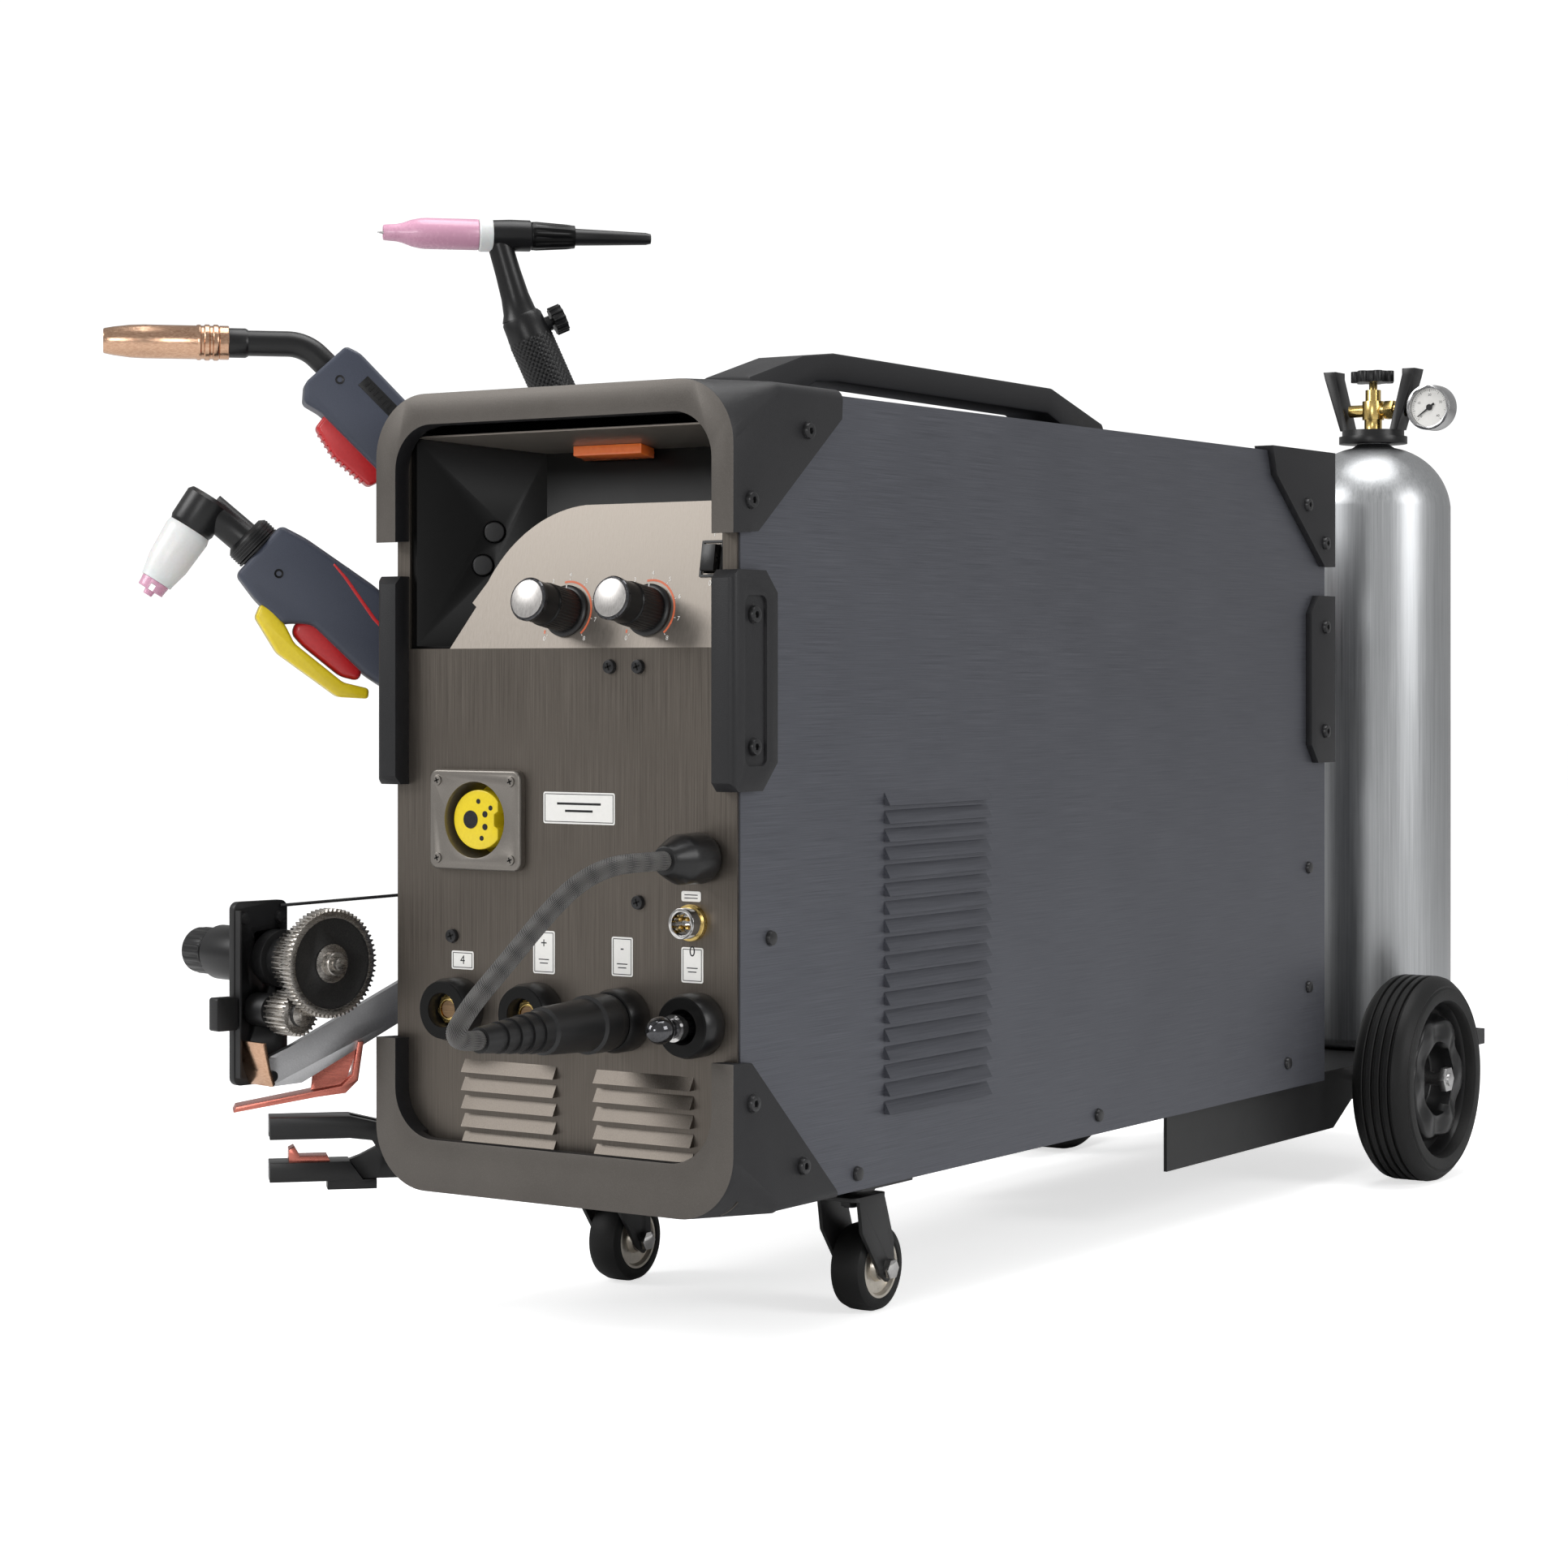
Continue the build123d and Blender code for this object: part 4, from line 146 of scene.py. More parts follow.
def grainGroup(name, pattern, clouds, share, sharpened=False):
    # a fine stretched pattern over slow clouds, so that no two areas match
    kind, values, settings = pattern
    group, start, end = newGroup(name, grainInputs(), finishOutputs())
    place = addNode(group, "ShaderNodeTexCoord")
    stretched = addNode(group, "ShaderNodeVectorMath", operation="MULTIPLY")
    fine = addNode(group, kind, values, **settings)
    slow = addNode(group, "ShaderNodeTexNoise", clouds)
    tone = addNode(group, "ShaderNodeMix", {0: share}, data_type="FLOAT")
    detail = fine.outputs[0]
    if sharpened:
        contrast = addNode(group, "ShaderNodeMapRange", {"From Min": 0.3, "From Max": 0.7})
        group.links.new(detail, contrast.inputs["Value"])
        detail = contrast.outputs["Result"]
    group.links.new(place.outputs["Object"], stretched.inputs[0])
    group.links.new(start.outputs["Stretch"], stretched.inputs[1])
    group.links.new(stretched.outputs[0], fine.inputs["Vector"])
    group.links.new(place.outputs["Object"], slow.inputs["Vector"])
    group.links.new(detail, tone.inputs[2])
    group.links.new(slow.outputs[0], tone.inputs[3])
    mixTone(group, start, end, tone.outputs[0], fine.outputs[0])
    return group


def wovenGroup():
    # two crossing sets of strands on a sleeve, from its own UV map; the strand crests are painted lighter as
    # a painted highlight and the gaps between them darker as painted shade
    group, start, end = newGroup("wovenSleevePaintedSheen", grainInputs(), finishOutputs())
    place = addNode(group, "ShaderNodeTexCoord")
    stretched = addNode(group, "ShaderNodeVectorMath", operation="MULTIPLY")
    parts = addNode(group, "ShaderNodeSeparateXYZ")
    group.links.new(place.outputs["UV"], stretched.inputs[0])
    group.links.new(start.outputs["Stretch"], stretched.inputs[1])
    group.links.new(stretched.outputs[0], parts.inputs[0])
    waves = []
    for operation in ("ADD", "SUBTRACT"):
        diagonal = addNode(group, "ShaderNodeMath", operation=operation)
        wave = addNode(group, "ShaderNodeMath", operation="SINE")
        group.links.new(parts.outputs["X"], diagonal.inputs[0])
        group.links.new(parts.outputs["Y"], diagonal.inputs[1])
        group.links.new(diagonal.outputs[0], wave.inputs[0])
        waves.append(wave)
    highest = addNode(group, "ShaderNodeMath", operation="MAXIMUM")
    tone = addNode(group, "ShaderNodeMapRange", {"From Min": -0.4, "From Max": 1})
    group.links.new(waves[0].outputs[0], highest.inputs[0])
    group.links.new(waves[1].outputs[0], highest.inputs[1])
    group.links.new(highest.outputs[0], tone.inputs["Value"])
    mixTone(group, start, end, tone.outputs["Result"], tone.outputs["Result"])
    return group


scratches = ("ShaderNodeTexNoise", {"Scale": 1, "Detail": 6, "Roughness": 0.7}, {})
pebbles = ("ShaderNodeTexVoronoi", {"Scale": 1}, {"feature": "SMOOTH_F1"})
groups = {
    "brushed": grainGroup("brushedGrain", scratches, {"Scale": 9, "Detail": 3}, 0.3, sharpened=True),
    "pebbled": grainGroup("pebbledGrain", pebbles, {"Scale": 14, "Detail": 5, "Roughness": 0.6}, 0.65),
    "woven": wovenGroup(),
}
usualDepth = 0.0001
finishes = {}


def addFinish(name, effect, plan):
    material = bpy.data.materials.new(name)
    material.use_nodes = True
    tree = material.node_tree
    shader = tree.nodes["Principled BSDF"]
    for socket, value in plan.get("shader", {}).items():
        shader.inputs[socket].default_value = value
    pattern = addNode(tree, "ShaderNodeGroup", node_tree=groups[effect])
    pattern.inputs["Dark"].default_value = (*plan["dark"], 1)
    pattern.inputs["Light"].default_value = (*plan["light"], 1)
    # a single number stretches the same along all three axes
    stretch = plan["stretch"]
    pattern.inputs["Stretch"].default_value = stretch if isinstance(stretch, tuple) else (stretch,) * 3
    pattern.inputs["Smooth"].default_value = plan["smooth"]
    pattern.inputs["Rough"].default_value = plan["rough"]
    depth = plan.get("depth", usualDepth)
    bump = addNode(tree, "ShaderNodeBump", {"Strength": plan["bump"], "Distance": depth})
    tree.links.new(pattern.outputs["Color"], shader.inputs["Base Color"])
    tree.links.new(pattern.outputs["Roughness"], shader.inputs["Roughness"])
    tree.links.new(pattern.outputs["Height"], bump.inputs["Height"])
    tree.links.new(bump.outputs["Normal"], shader.inputs["Normal"])
    finishes[name] = material


addFinish("sidePaint", "brushed", {
    "dark": (0.066, 0.069, 0.083), "light": (0.150, 0.155, 0.176), "stretch": (1800, 14, 1800),
    "smooth": 0.34, "rough": 0.52, "bump": 0.55, "depth": 0.0002, "shader": {"Metallic": 0.75},
})
addFinish("bronzePanel", "brushed", {
    "dark": (0.078, 0.067, 0.057), "light": (0.182, 0.160, 0.138), "stretch": (1500, 1500, 12),
    "smooth": 0.30, "rough": 0.50, "bump": 0.5, "depth": 0.0002, "shader": {"Metallic": 0.85},
})
addFinish("champagneFace", "brushed", {
    "dark": (0.215, 0.190, 0.165), "light": (0.310, 0.278, 0.245), "stretch": (900, 900, 60),
    "smooth": 0.34, "rough": 0.48, "bump": 0.15, "shader": {"Metallic": 0.8},
})
addFinish("bumperGrain", "pebbled", {
    "dark": (0.006, 0.006, 0.007), "light": (0.018, 0.018, 0.020), "stretch": 1400,
    "smooth": 0.38, "rough": 0.62, "bump": 0.35, "depth": 0.0002, "shader": {"Specular IOR Level": 0.35},
})
# painted reflection: the lighter taupe given to the bumpers' forward-facing faces for the sheen they catch
# from the front
addFinish("bumperFrontPaintedSheen", "pebbled", {
    "dark": (0.075, 0.067, 0.060), "light": (0.150, 0.136, 0.122), "stretch": 1600,
    "smooth": 0.34, "rough": 0.52, "bump": 0.2, "depth": 0.00015, "shader": {"Metallic": 0.55},
})
addFinish("pianoBlack", "pebbled", {
    "dark": (0.001, 0.001, 0.001), "light": (0.003, 0.003, 0.003), "stretch": 700,
    "smooth": 0.30, "rough": 0.42, "bump": 0.04, "shader": {"Specular IOR Level": 0.2},
})
addFinish("lensOrange", "pebbled", {
    "dark": (0.75, 0.10, 0.015), "light": (0.95, 0.22, 0.04), "stretch": 300,
    "smooth": 0.12, "rough": 0.25, "bump": 0.1, "depth": 0.0002,
    "shader": {"Subsurface Weight": 0.2, "Coat Weight": 0.6},
})
addFinish("flangeMetal", "pebbled", {
    "dark": (0.17, 0.155, 0.14), "light": (0.28, 0.26, 0.235), "stretch": 1500,
    "smooth": 0.32, "rough": 0.48, "bump": 0.15, "shader": {"Metallic": 0.8},
})
addFinish("signalYellow", "pebbled", {
    "dark": (0.72, 0.52, 0.006), "light": (0.93, 0.74, 0.015), "stretch": 500,
    "smooth": 0.24, "rough": 0.40, "bump": 0.1, "depth": 0.0002, "shader": {"Coat Weight": 0.25},
})
addFinish("mouldedBlack", "pebbled", {
    "dark": (0.003, 0.003, 0.003), "light": (0.011, 0.011, 0.012), "stretch": 1100,
    "smooth": 0.26, "rough": 0.46, "bump": 0.12, "shader": {"Specular IOR Level": 0.4},
})
addFinish("brassHex", "brushed", {
    "dark": (0.62, 0.42, 0.12), "light": (0.88, 0.66, 0.26), "stretch": (300, 2600, 300),
    "smooth": 0.16, "rough": 0.32, "bump": 0.15, "shader": {"Metallic": 1.0},
})
addFinish("plugRubber", "pebbled", {
    "dark": (0.004, 0.004, 0.004), "light": (0.014, 0.014, 0.015), "stretch": 900,
    "smooth": 0.30, "rough": 0.52, "bump": 0.15, "shader": {"Specular IOR Level": 0.45},
})
# the braid's light tone is a painted highlight on the strand crests, and its dark tone is painted shade in
# the gaps
addFinish("leadBraid", "woven", {
    "dark": (0.003, 0.003, 0.003), "light": (0.105, 0.100, 0.094),
    "stretch": (2 * math.pi * 8, 2 * math.pi * 36, 1),
    "smooth": 0.60, "rough": 0.36, "bump": 0.8, "depth": 0.0006, "shader": {"Sheen Weight": 0.15},
})
addFinish("brightChrome", "brushed", {
    "dark": (0.46, 0.45, 0.44), "light": (0.70, 0.69, 0.68), "stretch": (400, 1800, 400),
    "smooth": 0.06, "rough": 0.18, "bump": 0.04, "shader": {"Metallic": 1.0},
})
addFinish("turnedCap", "brushed", {
    "dark": (0.30, 0.285, 0.275), "light": (0.62, 0.60, 0.58), "stretch": (1600, 1600, 60),
    "smooth": 0.28, "rough": 0.44, "bump": 0.2, "shader": {"Metallic": 0.9},
})
addFinish("darkChrome", "brushed", {
    "dark": (0.05, 0.05, 0.055), "light": (0.12, 0.12, 0.125), "stretch": (400, 1800, 400),
    "smooth": 0.05, "rough": 0.14, "bump": 0.03, "shader": {"Metallic": 0.9},
})
addFinish("screwBlack", "pebbled", {
    "dark": (0.010, 0.010, 0.011), "light": (0.050, 0.050, 0.052), "stretch": 900,
    "smooth": 0.22, "rough": 0.40, "bump": 0.1, "shader": {"Metallic": 0.5},
})
addFinish("powderBlack", "pebbled", {
    "dark": (0.004, 0.004, 0.004), "light": (0.012, 0.012, 0.013), "stretch": 1500,
    "smooth": 0.36, "rough": 0.56, "bump": 0.25, "depth": 0.00015, "shader": {"Specular IOR Level": 0.5},
})
addFinish("zincPlate", "brushed", {
    "dark": (0.36, 0.36, 0.37), "light": (0.62, 0.61, 0.60), "stretch": (900, 120, 900),
    "smooth": 0.24, "rough": 0.42, "bump": 0.12, "shader": {"Metallic": 1.0},
})
addFinish("bottleAluminium", "brushed", {
    "dark": (0.34, 0.35, 0.36), "light": (0.56, 0.57, 0.58), "stretch": (700, 700, 7),
    "smooth": 0.30, "rough": 0.46, "bump": 0.18, "depth": 0.00015, "shader": {"Metallic": 0.95},
})
addFinish("gaugeCase", "brushed", {
    "dark": (0.34, 0.34, 0.35), "light": (0.60, 0.60, 0.60), "stretch": (500, 2000, 500),
    "smooth": 0.10, "rough": 0.24, "bump": 0.05, "shader": {"Metallic": 1.0},
})
addFinish("nozzleCopper", "brushed", {
    "dark": (0.42, 0.22, 0.13), "light": (0.80, 0.54, 0.38), "stretch": (350, 350, 1500),
    "smooth": 0.14, "rough": 0.30, "bump": 0.25, "depth": 0.0002, "shader": {"Metallic": 1.0},
})
addFinish("gripNavy", "pebbled", {
    "dark": (0.028, 0.034, 0.055), "light": (0.058, 0.068, 0.100), "stretch": 1300,
    "smooth": 0.40, "rough": 0.58, "bump": 0.2, "depth": 0.00015, "shader": {"Sheen Weight": 0.1},
})
addFinish("whiteCeramic", "pebbled", {
    "dark": (0.72, 0.72, 0.71), "light": (0.86, 0.86, 0.85), "stretch": 600,
    "smooth": 0.26, "rough": 0.42, "bump": 0.1, "shader": {"Subsurface Weight": 0.1},
})
addFinish("pinkCeramic", "pebbled", {
    "dark": (0.62, 0.30, 0.44), "light": (0.76, 0.42, 0.56), "stretch": 500,
    "smooth": 0.20, "rough": 0.34, "bump": 0.1, "shader": {"Coat Weight": 0.2},
})
addFinish("castAlloy", "pebbled", {
    "dark": (0.38, 0.38, 0.39), "light": (0.62, 0.62, 0.63), "stretch": 900,
    "smooth": 0.28, "rough": 0.46, "bump": 0.2, "depth": 0.0002, "shader": {"Metallic": 0.9},
})
addFinish("windings", "brushed", {
    "dark": (0.10, 0.06, 0.03), "light": (0.32, 0.20, 0.10), "stretch": (60, 60, 900),
    "smooth": 0.4, "rough": 0.6, "bump": 0.5, "depth": 0.0005, "shader": {"Metallic": 0.4},
})
addFinish("gearSteel", "brushed", {
    "dark": (0.26, 0.24, 0.22), "light": (0.60, 0.57, 0.53), "stretch": (150, 150, 700),
    "smooth": 0.18, "rough": 0.36, "bump": 0.06, "shader": {"Metallic": 1.0},
})
addFinish("gearFace", "brushed", {
    "dark": (0.020, 0.020, 0.021), "light": (0.060, 0.058, 0.056), "stretch": 900,
    "smooth": 0.26, "rough": 0.44, "bump": 0.1, "shader": {"Metallic": 0.6},
})
addFinish("triggerRed", "pebbled", {
    "dark": (0.48, 0.010, 0.014), "light": (0.70, 0.022, 0.026), "stretch": 500,
    "smooth": 0.28, "rough": 0.44, "bump": 0.1, "depth": 0.0002, "shader": {"Coat Weight": 0.15},
})
addFinish("shoeRed", "brushed", {
    "dark": (0.50, 0.145, 0.11), "light": (0.62, 0.20, 0.15), "stretch": (60, 60, 400),
    "smooth": 0.20, "rough": 0.36, "bump": 0.04, "depth": 0.0002, "shader": {"Metallic": 0.75},
})
addFinish("tyreRubber", "pebbled", {
    "dark": (0.003, 0.003, 0.003), "light": (0.010, 0.010, 0.010), "stretch": 1000,
    "smooth": 0.42, "rough": 0.66, "bump": 0.3, "depth": 0.0002, "shader": {"Specular IOR Level": 0.3},
})
addFinish("rimCream", "brushed", {
    "dark": (0.50, 0.46, 0.40), "light": (0.70, 0.65, 0.57), "stretch": (1400, 200, 200),
    "smooth": 0.24, "rough": 0.40, "bump": 0.1, "shader": {"Metallic": 0.85},
})
addFinish("labelWhite", "pebbled", {
    "dark": (0.78, 0.77, 0.74), "light": (0.90, 0.89, 0.86), "stretch": 400,
    "smooth": 0.30, "rough": 0.45, "bump": 0.05, "shader": {"Coat Weight": 0.2},
})
addFinish("printWhite", "pebbled", {
    "dark": (0.80, 0.78, 0.74), "light": (0.92, 0.90, 0.86), "stretch": 900,
    "smooth": 0.45, "rough": 0.6, "bump": 0.02,
})
addFinish("printOrange", "pebbled", {
    "dark": (0.70, 0.14, 0.06), "light": (0.86, 0.22, 0.10), "stretch": 900,
    "smooth": 0.45, "rough": 0.6, "bump": 0.02,
})
print("finishes made:", len(finishes))


def aim(origin, axis):
    # a seat whose local Z runs along the axis, millimetres in, metres out
    turn = Vector(axis).to_track_quat("Z", "Y").to_matrix().to_4x4()
    return Matrix.Translation(Vector(origin) * mm) @ turn @ Matrix.Scale(mm, 4)


def seatOn(origin, across, normal):
    # a seat whose local X runs across and local Z along the normal, millimetres in, metres out
    z = Vector(normal).normalized()
    x = Vector(across).normalized()
    y = z.cross(x)
    turn = Matrix((x, y, z)).transposed().to_4x4()
    return Matrix.Translation(Vector(origin) * mm) @ turn @ Matrix.Scale(mm, 4)


def facing(x, z, y=0):
    # a seat whose axis points out of the front
    return aim((x, y, z), (0, -1, 0))


def lathe(profile, seat, steps=96):
    # profile pairs are (distance along the axis, radius)
    mesh = bmesh.new()
    verts = [mesh.verts.new((radius, 0, along)) for along, radius in profile]
    edges = [mesh.edges.new(pair) for pair in zip(verts, verts[1:])]
    bmesh.ops.spin(
        mesh, geom=verts + edges, cent=(0, 0, 0), axis=(0, 0, 1), dvec=(0, 0, 0),
        angle=2 * math.pi, steps=steps, use_merge=True,
    )
    bmesh.ops.remove_doubles(mesh, verts=mesh.verts, dist=0.0005)
    bmesh.ops.recalc_face_normals(mesh, faces=mesh.faces)
    mesh.transform(seat)
    return mesh


def moulded(outline, seat, half, rounding, segments=4, lift=0.0):
    # an outline thickened both ways, with every edge rounded
    mesh = bmesh.new()
    corners = [mesh.verts.new((x, y, lift - half)) for x, y in outline]
    made = bmesh.ops.extrude_face_region(mesh, geom=[mesh.faces.new(corners)])
    top = [part for part in made["geom"] if isinstance(part, bmesh.types.BMVert)]
    bmesh.ops.translate(mesh, verts=top, vec=(0, 0, 2 * half))
    bmesh.ops.recalc_face_normals(mesh, faces=mesh.faces)
    if rounding:
        bmesh.ops.bevel(
            mesh, geom=mesh.edges, offset=rounding, segments=segments, profile=0.5,
            affect="EDGES", material=-1, clamp_overlap=True,
        )
    mesh.transform(seat)
    return mesh


def oblong(left, right, low, high):
    return [(left, low), (right, low), (right, high), (left, high)]


def wrapped(countAlong, countAround, place, seat):
    # a grid wrapped round by place(along, around), both from 0 to 1, with a UV map of the two
    mesh = bmesh.new()
    bmesh.ops.create_grid(mesh, x_segments=countAlong, y_segments=countAround, size=0.5)
    chart = mesh.loops.layers.uv.new("UVMap")
    for face in mesh.faces:
        for corner in face.loops:
            corner[chart].uv = (corner.vert.co.x + 0.5, corner.vert.co.y + 0.5)
    for vert in mesh.verts:
        vert.co = place(vert.co.x + 0.5, vert.co.y + 0.5)
    bmesh.ops.remove_doubles(mesh, verts=mesh.verts, dist=0.0005)
    bmesh.ops.recalc_face_normals(mesh, faces=mesh.faces)
    mesh.transform(seat)
    return mesh


def joined(*meshes):
    whole = meshes[0]
    for extra in meshes[1:]:
        carrier = bpy.data.meshes.new("carrier")
        extra.to_mesh(carrier)
        extra.free()
        whole.from_mesh(carrier)
        bpy.data.meshes.remove(carrier)
    return whole


def addPiece(name, mesh, finish, body="housing", replaces=(), sharp=35):
    for face in mesh.faces:
        face.smooth = True
    for edge in mesh.edges:
        if len(edge.link_faces) == 2 and edge.calc_face_angle(0) > math.radians(sharp):
            edge.smooth = False
    data = bpy.data.meshes.new(name)
    mesh.to_mesh(data)
    mesh.free()
    kinds = [finish] if isinstance(finish, str) else list(finish)
    for kind in kinds:
        data.materials.append(finishes[kind])
    piece = bpy.data.objects.new(name, data)
    scene.collection.objects.link(piece)
    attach(piece, body)
    if replaces:
        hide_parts(*replaces)
    return piece


def islandsOf(mesh):
    # the separate solids of a merged mesh, as lists of faces
    waiting = set(mesh.faces)
    islands = []
    while waiting:
        front = [waiting.pop()]
        island = []
        while front:
            face = front.pop()
            island.append(face)
            for edge in face.edges:
                for other in edge.link_faces:
                    if other in waiting:
                        waiting.discard(other)
                        front.append(other)
        islands.append(island)
    return islands


def middleOf(faces):
    corners = [vert.co for face in faces for vert in face.verts]
    low = Vector([min(corner[axis] for corner in corners) for axis in range(3)])
    high = Vector([max(corner[axis] for corner in corners) for axis in range(3)])
    return (low + high) / 2


def dress(node, parts, bevel=0.0, faceRule=None):
    # a merged copy of a CAD node with softened edges. parts is one finish, or pairs of finish and
    # place: each solid takes the finish of the nearest, and None leaves it to a finer piece
    if isinstance(parts, str):
        parts = [(parts, (0, 0, 0))]
    mesh = bmesh.new()
    mesh.from_mesh(nodes[node].data)
    bmesh.ops.remove_doubles(mesh, verts=mesh.verts, dist=2e-6)
    kinds = [kind for kind, place in parts]
    extra = [faceRule[0]] if faceRule else []
    unwanted = []
    for island in islandsOf(mesh):
        middle = middleOf(island) / mm
        nearest = min(range(len(parts)), key=lambda n: (Vector(parts[n][1]) - middle).length)
        for face in island:
            face.material_index = nearest
        if kinds[nearest] is None:
            unwanted += island
    bmesh.ops.delete(mesh, geom=unwanted, context="FACES")
    bmesh.ops.dissolve_limit(
        mesh, angle_limit=math.radians(0.6), verts=mesh.verts, edges=mesh.edges, delimit={"MATERIAL"},
    )
    if bevel:
        edges = [
            edge for edge in mesh.edges
            if len(edge.link_faces) == 2 and edge.calc_face_angle(0) > math.radians(40)
        ]
        bmesh.ops.bevel(
            mesh, geom=edges, offset=bevel * mm, segments=2, profile=0.5, affect="EDGES",
            material=-1, clamp_overlap=True,
        )
    if faceRule:
        for face in mesh.faces:
            if faceRule[1](face):
                face.material_index = len(kinds)
    body = nodes[node]["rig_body"]
    addPiece("look_" + node, mesh, [kind or kinds[0] for kind in kinds + extra], body, [node])


def paint(finish, *names):
    for name in names:
        for slot in nodes[name].material_slots:
            slot.material = finishes[finish]


# the free lead: one smooth line, then a woven sleeve that follows it
leadPlan = {
    "route": [
        (0.1215, -0.046, 0.341), (0.1215, -0.070, 0.341), (0.115, -0.095, 0.340),
        (0.104, -0.116, 0.330), (0.0935, -0.133, 0.312), (0.086, -0.150, 0.293),
        (0.0795, -0.168, 0.274), (0.070, -0.187, 0.252), (0.055, -0.189, 0.228),
        (0.055, -0.158, 0.228),
    ],
    "diameter": 0.013, "strands": 48, "rise": 0.00022,
}


def leadPoints():
    curve = bpy.data.curves.new("leadLine", "CURVE")
    curve.dimensions = "3D"
    spline = curve.splines.new("NURBS")
    spline.points.add(len(leadPlan["route"]) - 1)
    for point, place in zip(spline.points, leadPlan["route"]):
        point.co = (*place, 1)
    spline.order_u = 3
    spline.use_endpoint_u = True
    spline.resolution_u = 16
    line = bpy.data.objects.new("leadLine", curve)
    scene.collection.objects.link(line)
    bpy.context.view_layer.update()
    sampled = bpy.data.meshes.new_from_object(line)
    points = [vert.co.copy() for vert in sampled.vertices]
    bpy.data.objects.remove(line)
    return points


def evenly(points, step):
    # the same line in steps of equal length
    marks = [0.0]
    for before, after in zip(points, points[1:]):
        marks.append(marks[-1] + (after - before).length)
    count = round(marks[-1] / step)
    line = []
    run = 0
    for n in range(count + 1):
        mark = marks[-1] * n / count
        while run < len(points) - 2 and marks[run + 1] < mark:
            run += 1
        share = (mark - marks[run]) / (marks[run + 1] - marks[run])
        line.append(points[run].lerp(points[run + 1], min(1, share)))
    return line, marks[-1]


leadLine, leadLength = evenly(leadPoints(), 0.0009)
leadFrames = []
side = Vector((0, 0, 1))
for n, point in enumerate(leadLine):
    ahead = (leadLine[min(n + 1, len(leadLine) - 1)] - leadLine[max(n - 1, 0)]).normalized()
    side = (side - ahead * side.dot(ahead)).normalized()
    leadFrames.append((point, side.copy(), ahead.cross(side)))


def sleevePlace(along, around):
    row = round(along * (len(leadLine) - 1))
    column = round(around * leadPlan["strands"])
    point, up, over = leadFrames[row]
    rise = leadPlan["rise"] * (1 if (row + column) % 2 else -1)
    angle = 2 * math.pi * around
    radius = leadPlan["diameter"] / 2 - leadPlan["rise"] + rise
    return (point + (up * math.cos(angle) + over * math.sin(angle)) * radius) / mm


sleeve = wrapped(len(leadLine) - 1, leadPlan["strands"], sleevePlace, Matrix.Scale(mm, 4))
lead = addPiece("braided_lead", sleeve, "leadBraid", "housing", ["polarity_lead"], sharp=80)
paint("plugRubber", "lead_plug")
print("lead made:", round(leadLength, 4), "m")

# housing: flat panels keep their CAD shape
paint("sidePaint", "side_panels", "roof_panel", "rear_panel")
paint("bronzePanel", "front_panel")
paint("powderBlack", "base_pan", "chassis_tray")
paint("windings", "power_module")
paint("zincPlate", "divider_wall")
paint("mouldedBlack", "wire_spool", "fan_rotor")
paint("triggerRed", "power_switch")

# bumpers: the faces that point forward are painted a little lighter than the sides, a painted reflection on
# the front rim
dress("front_bumpers", "bumperGrain", bevel=1.6,
      faceRule=("bumperFrontPaintedSheen", lambda face: face.normal.y < -0.85))
dress("side_guards", "bumperGrain", bevel=1.2)
dress("carry_handle", "bumperGrain", bevel=2.5)
dress("control_recess", [("pianoBlack", (0, 32, 550)), ("champagneFace", (0, 32, 629))], bevel=0.4)
dress("control_panel", [
    ("champagneFace", (20, 0, 530)), ("labelWhite", (15, 0, 372)), ("labelWhite", (-88, 0, 262)),
    ("labelWhite", (-15, 0, 271)), ("labelWhite", (53, 0, 271)), ("labelWhite", (112, 0, 268)),
    ("labelWhite", (111, 0, 314)),
])
dress("status_lens", "lensOrange", bevel=0.8)
dress("mode_switch", "mouldedBlack", bevel=0.5)
dress("jog_button_upper", "mouldedBlack", bevel=0.4)
dress("jog_button_lower", "mouldedBlack", bevel=0.4)
dress("case_screws", "screwBlack", bevel=0.25)
print("housing dressed")

# front connectors
dress("euro_flange", "flangeMetal", bevel=0.5)

# the yellow insulator: a lobed block in the flange's well; its guide bore and keyed slots are flat black
# discs on its face, painted shade for the holes
insulatorPlan = {"x": -73, "z": 362, "radius": 22.5, "front": -1.2, "back": 26}


def insulatorOutline():
    radius = insulatorPlan["radius"]
    points = []
    for step in range(64):
        angle = 2 * math.pi * step / 64
        across, up = radius * math.cos(angle), 0.94 * radius * math.sin(angle)
        if abs(up) < 4.5 and across > 0:
            across = 14.0
        elif across > 17.5:
            across = 17.5
        points.append((across, up))
    return points


insulatorMiddle = (insulatorPlan["front"] + insulatorPlan["back"]) / 2
insulatorSeat = seatOn((insulatorPlan["x"], insulatorMiddle, insulatorPlan["z"]), (1, 0, 0), (0, -1, 0))
insulatorHalf = (insulatorPlan["back"] - insulatorPlan["front"]) / 2
block = moulded(insulatorOutline(), insulatorSeat, insulatorHalf, 1.2)
backing = lathe([(-32, 0.01), (-32, 26.8), (-26, 26.8), (-26, 0.01)],
                facing(insulatorPlan["x"], insulatorPlan["z"]))
addPiece("insulator_block", joined(block, backing), "signalYellow", replaces=["euro_insulator"])
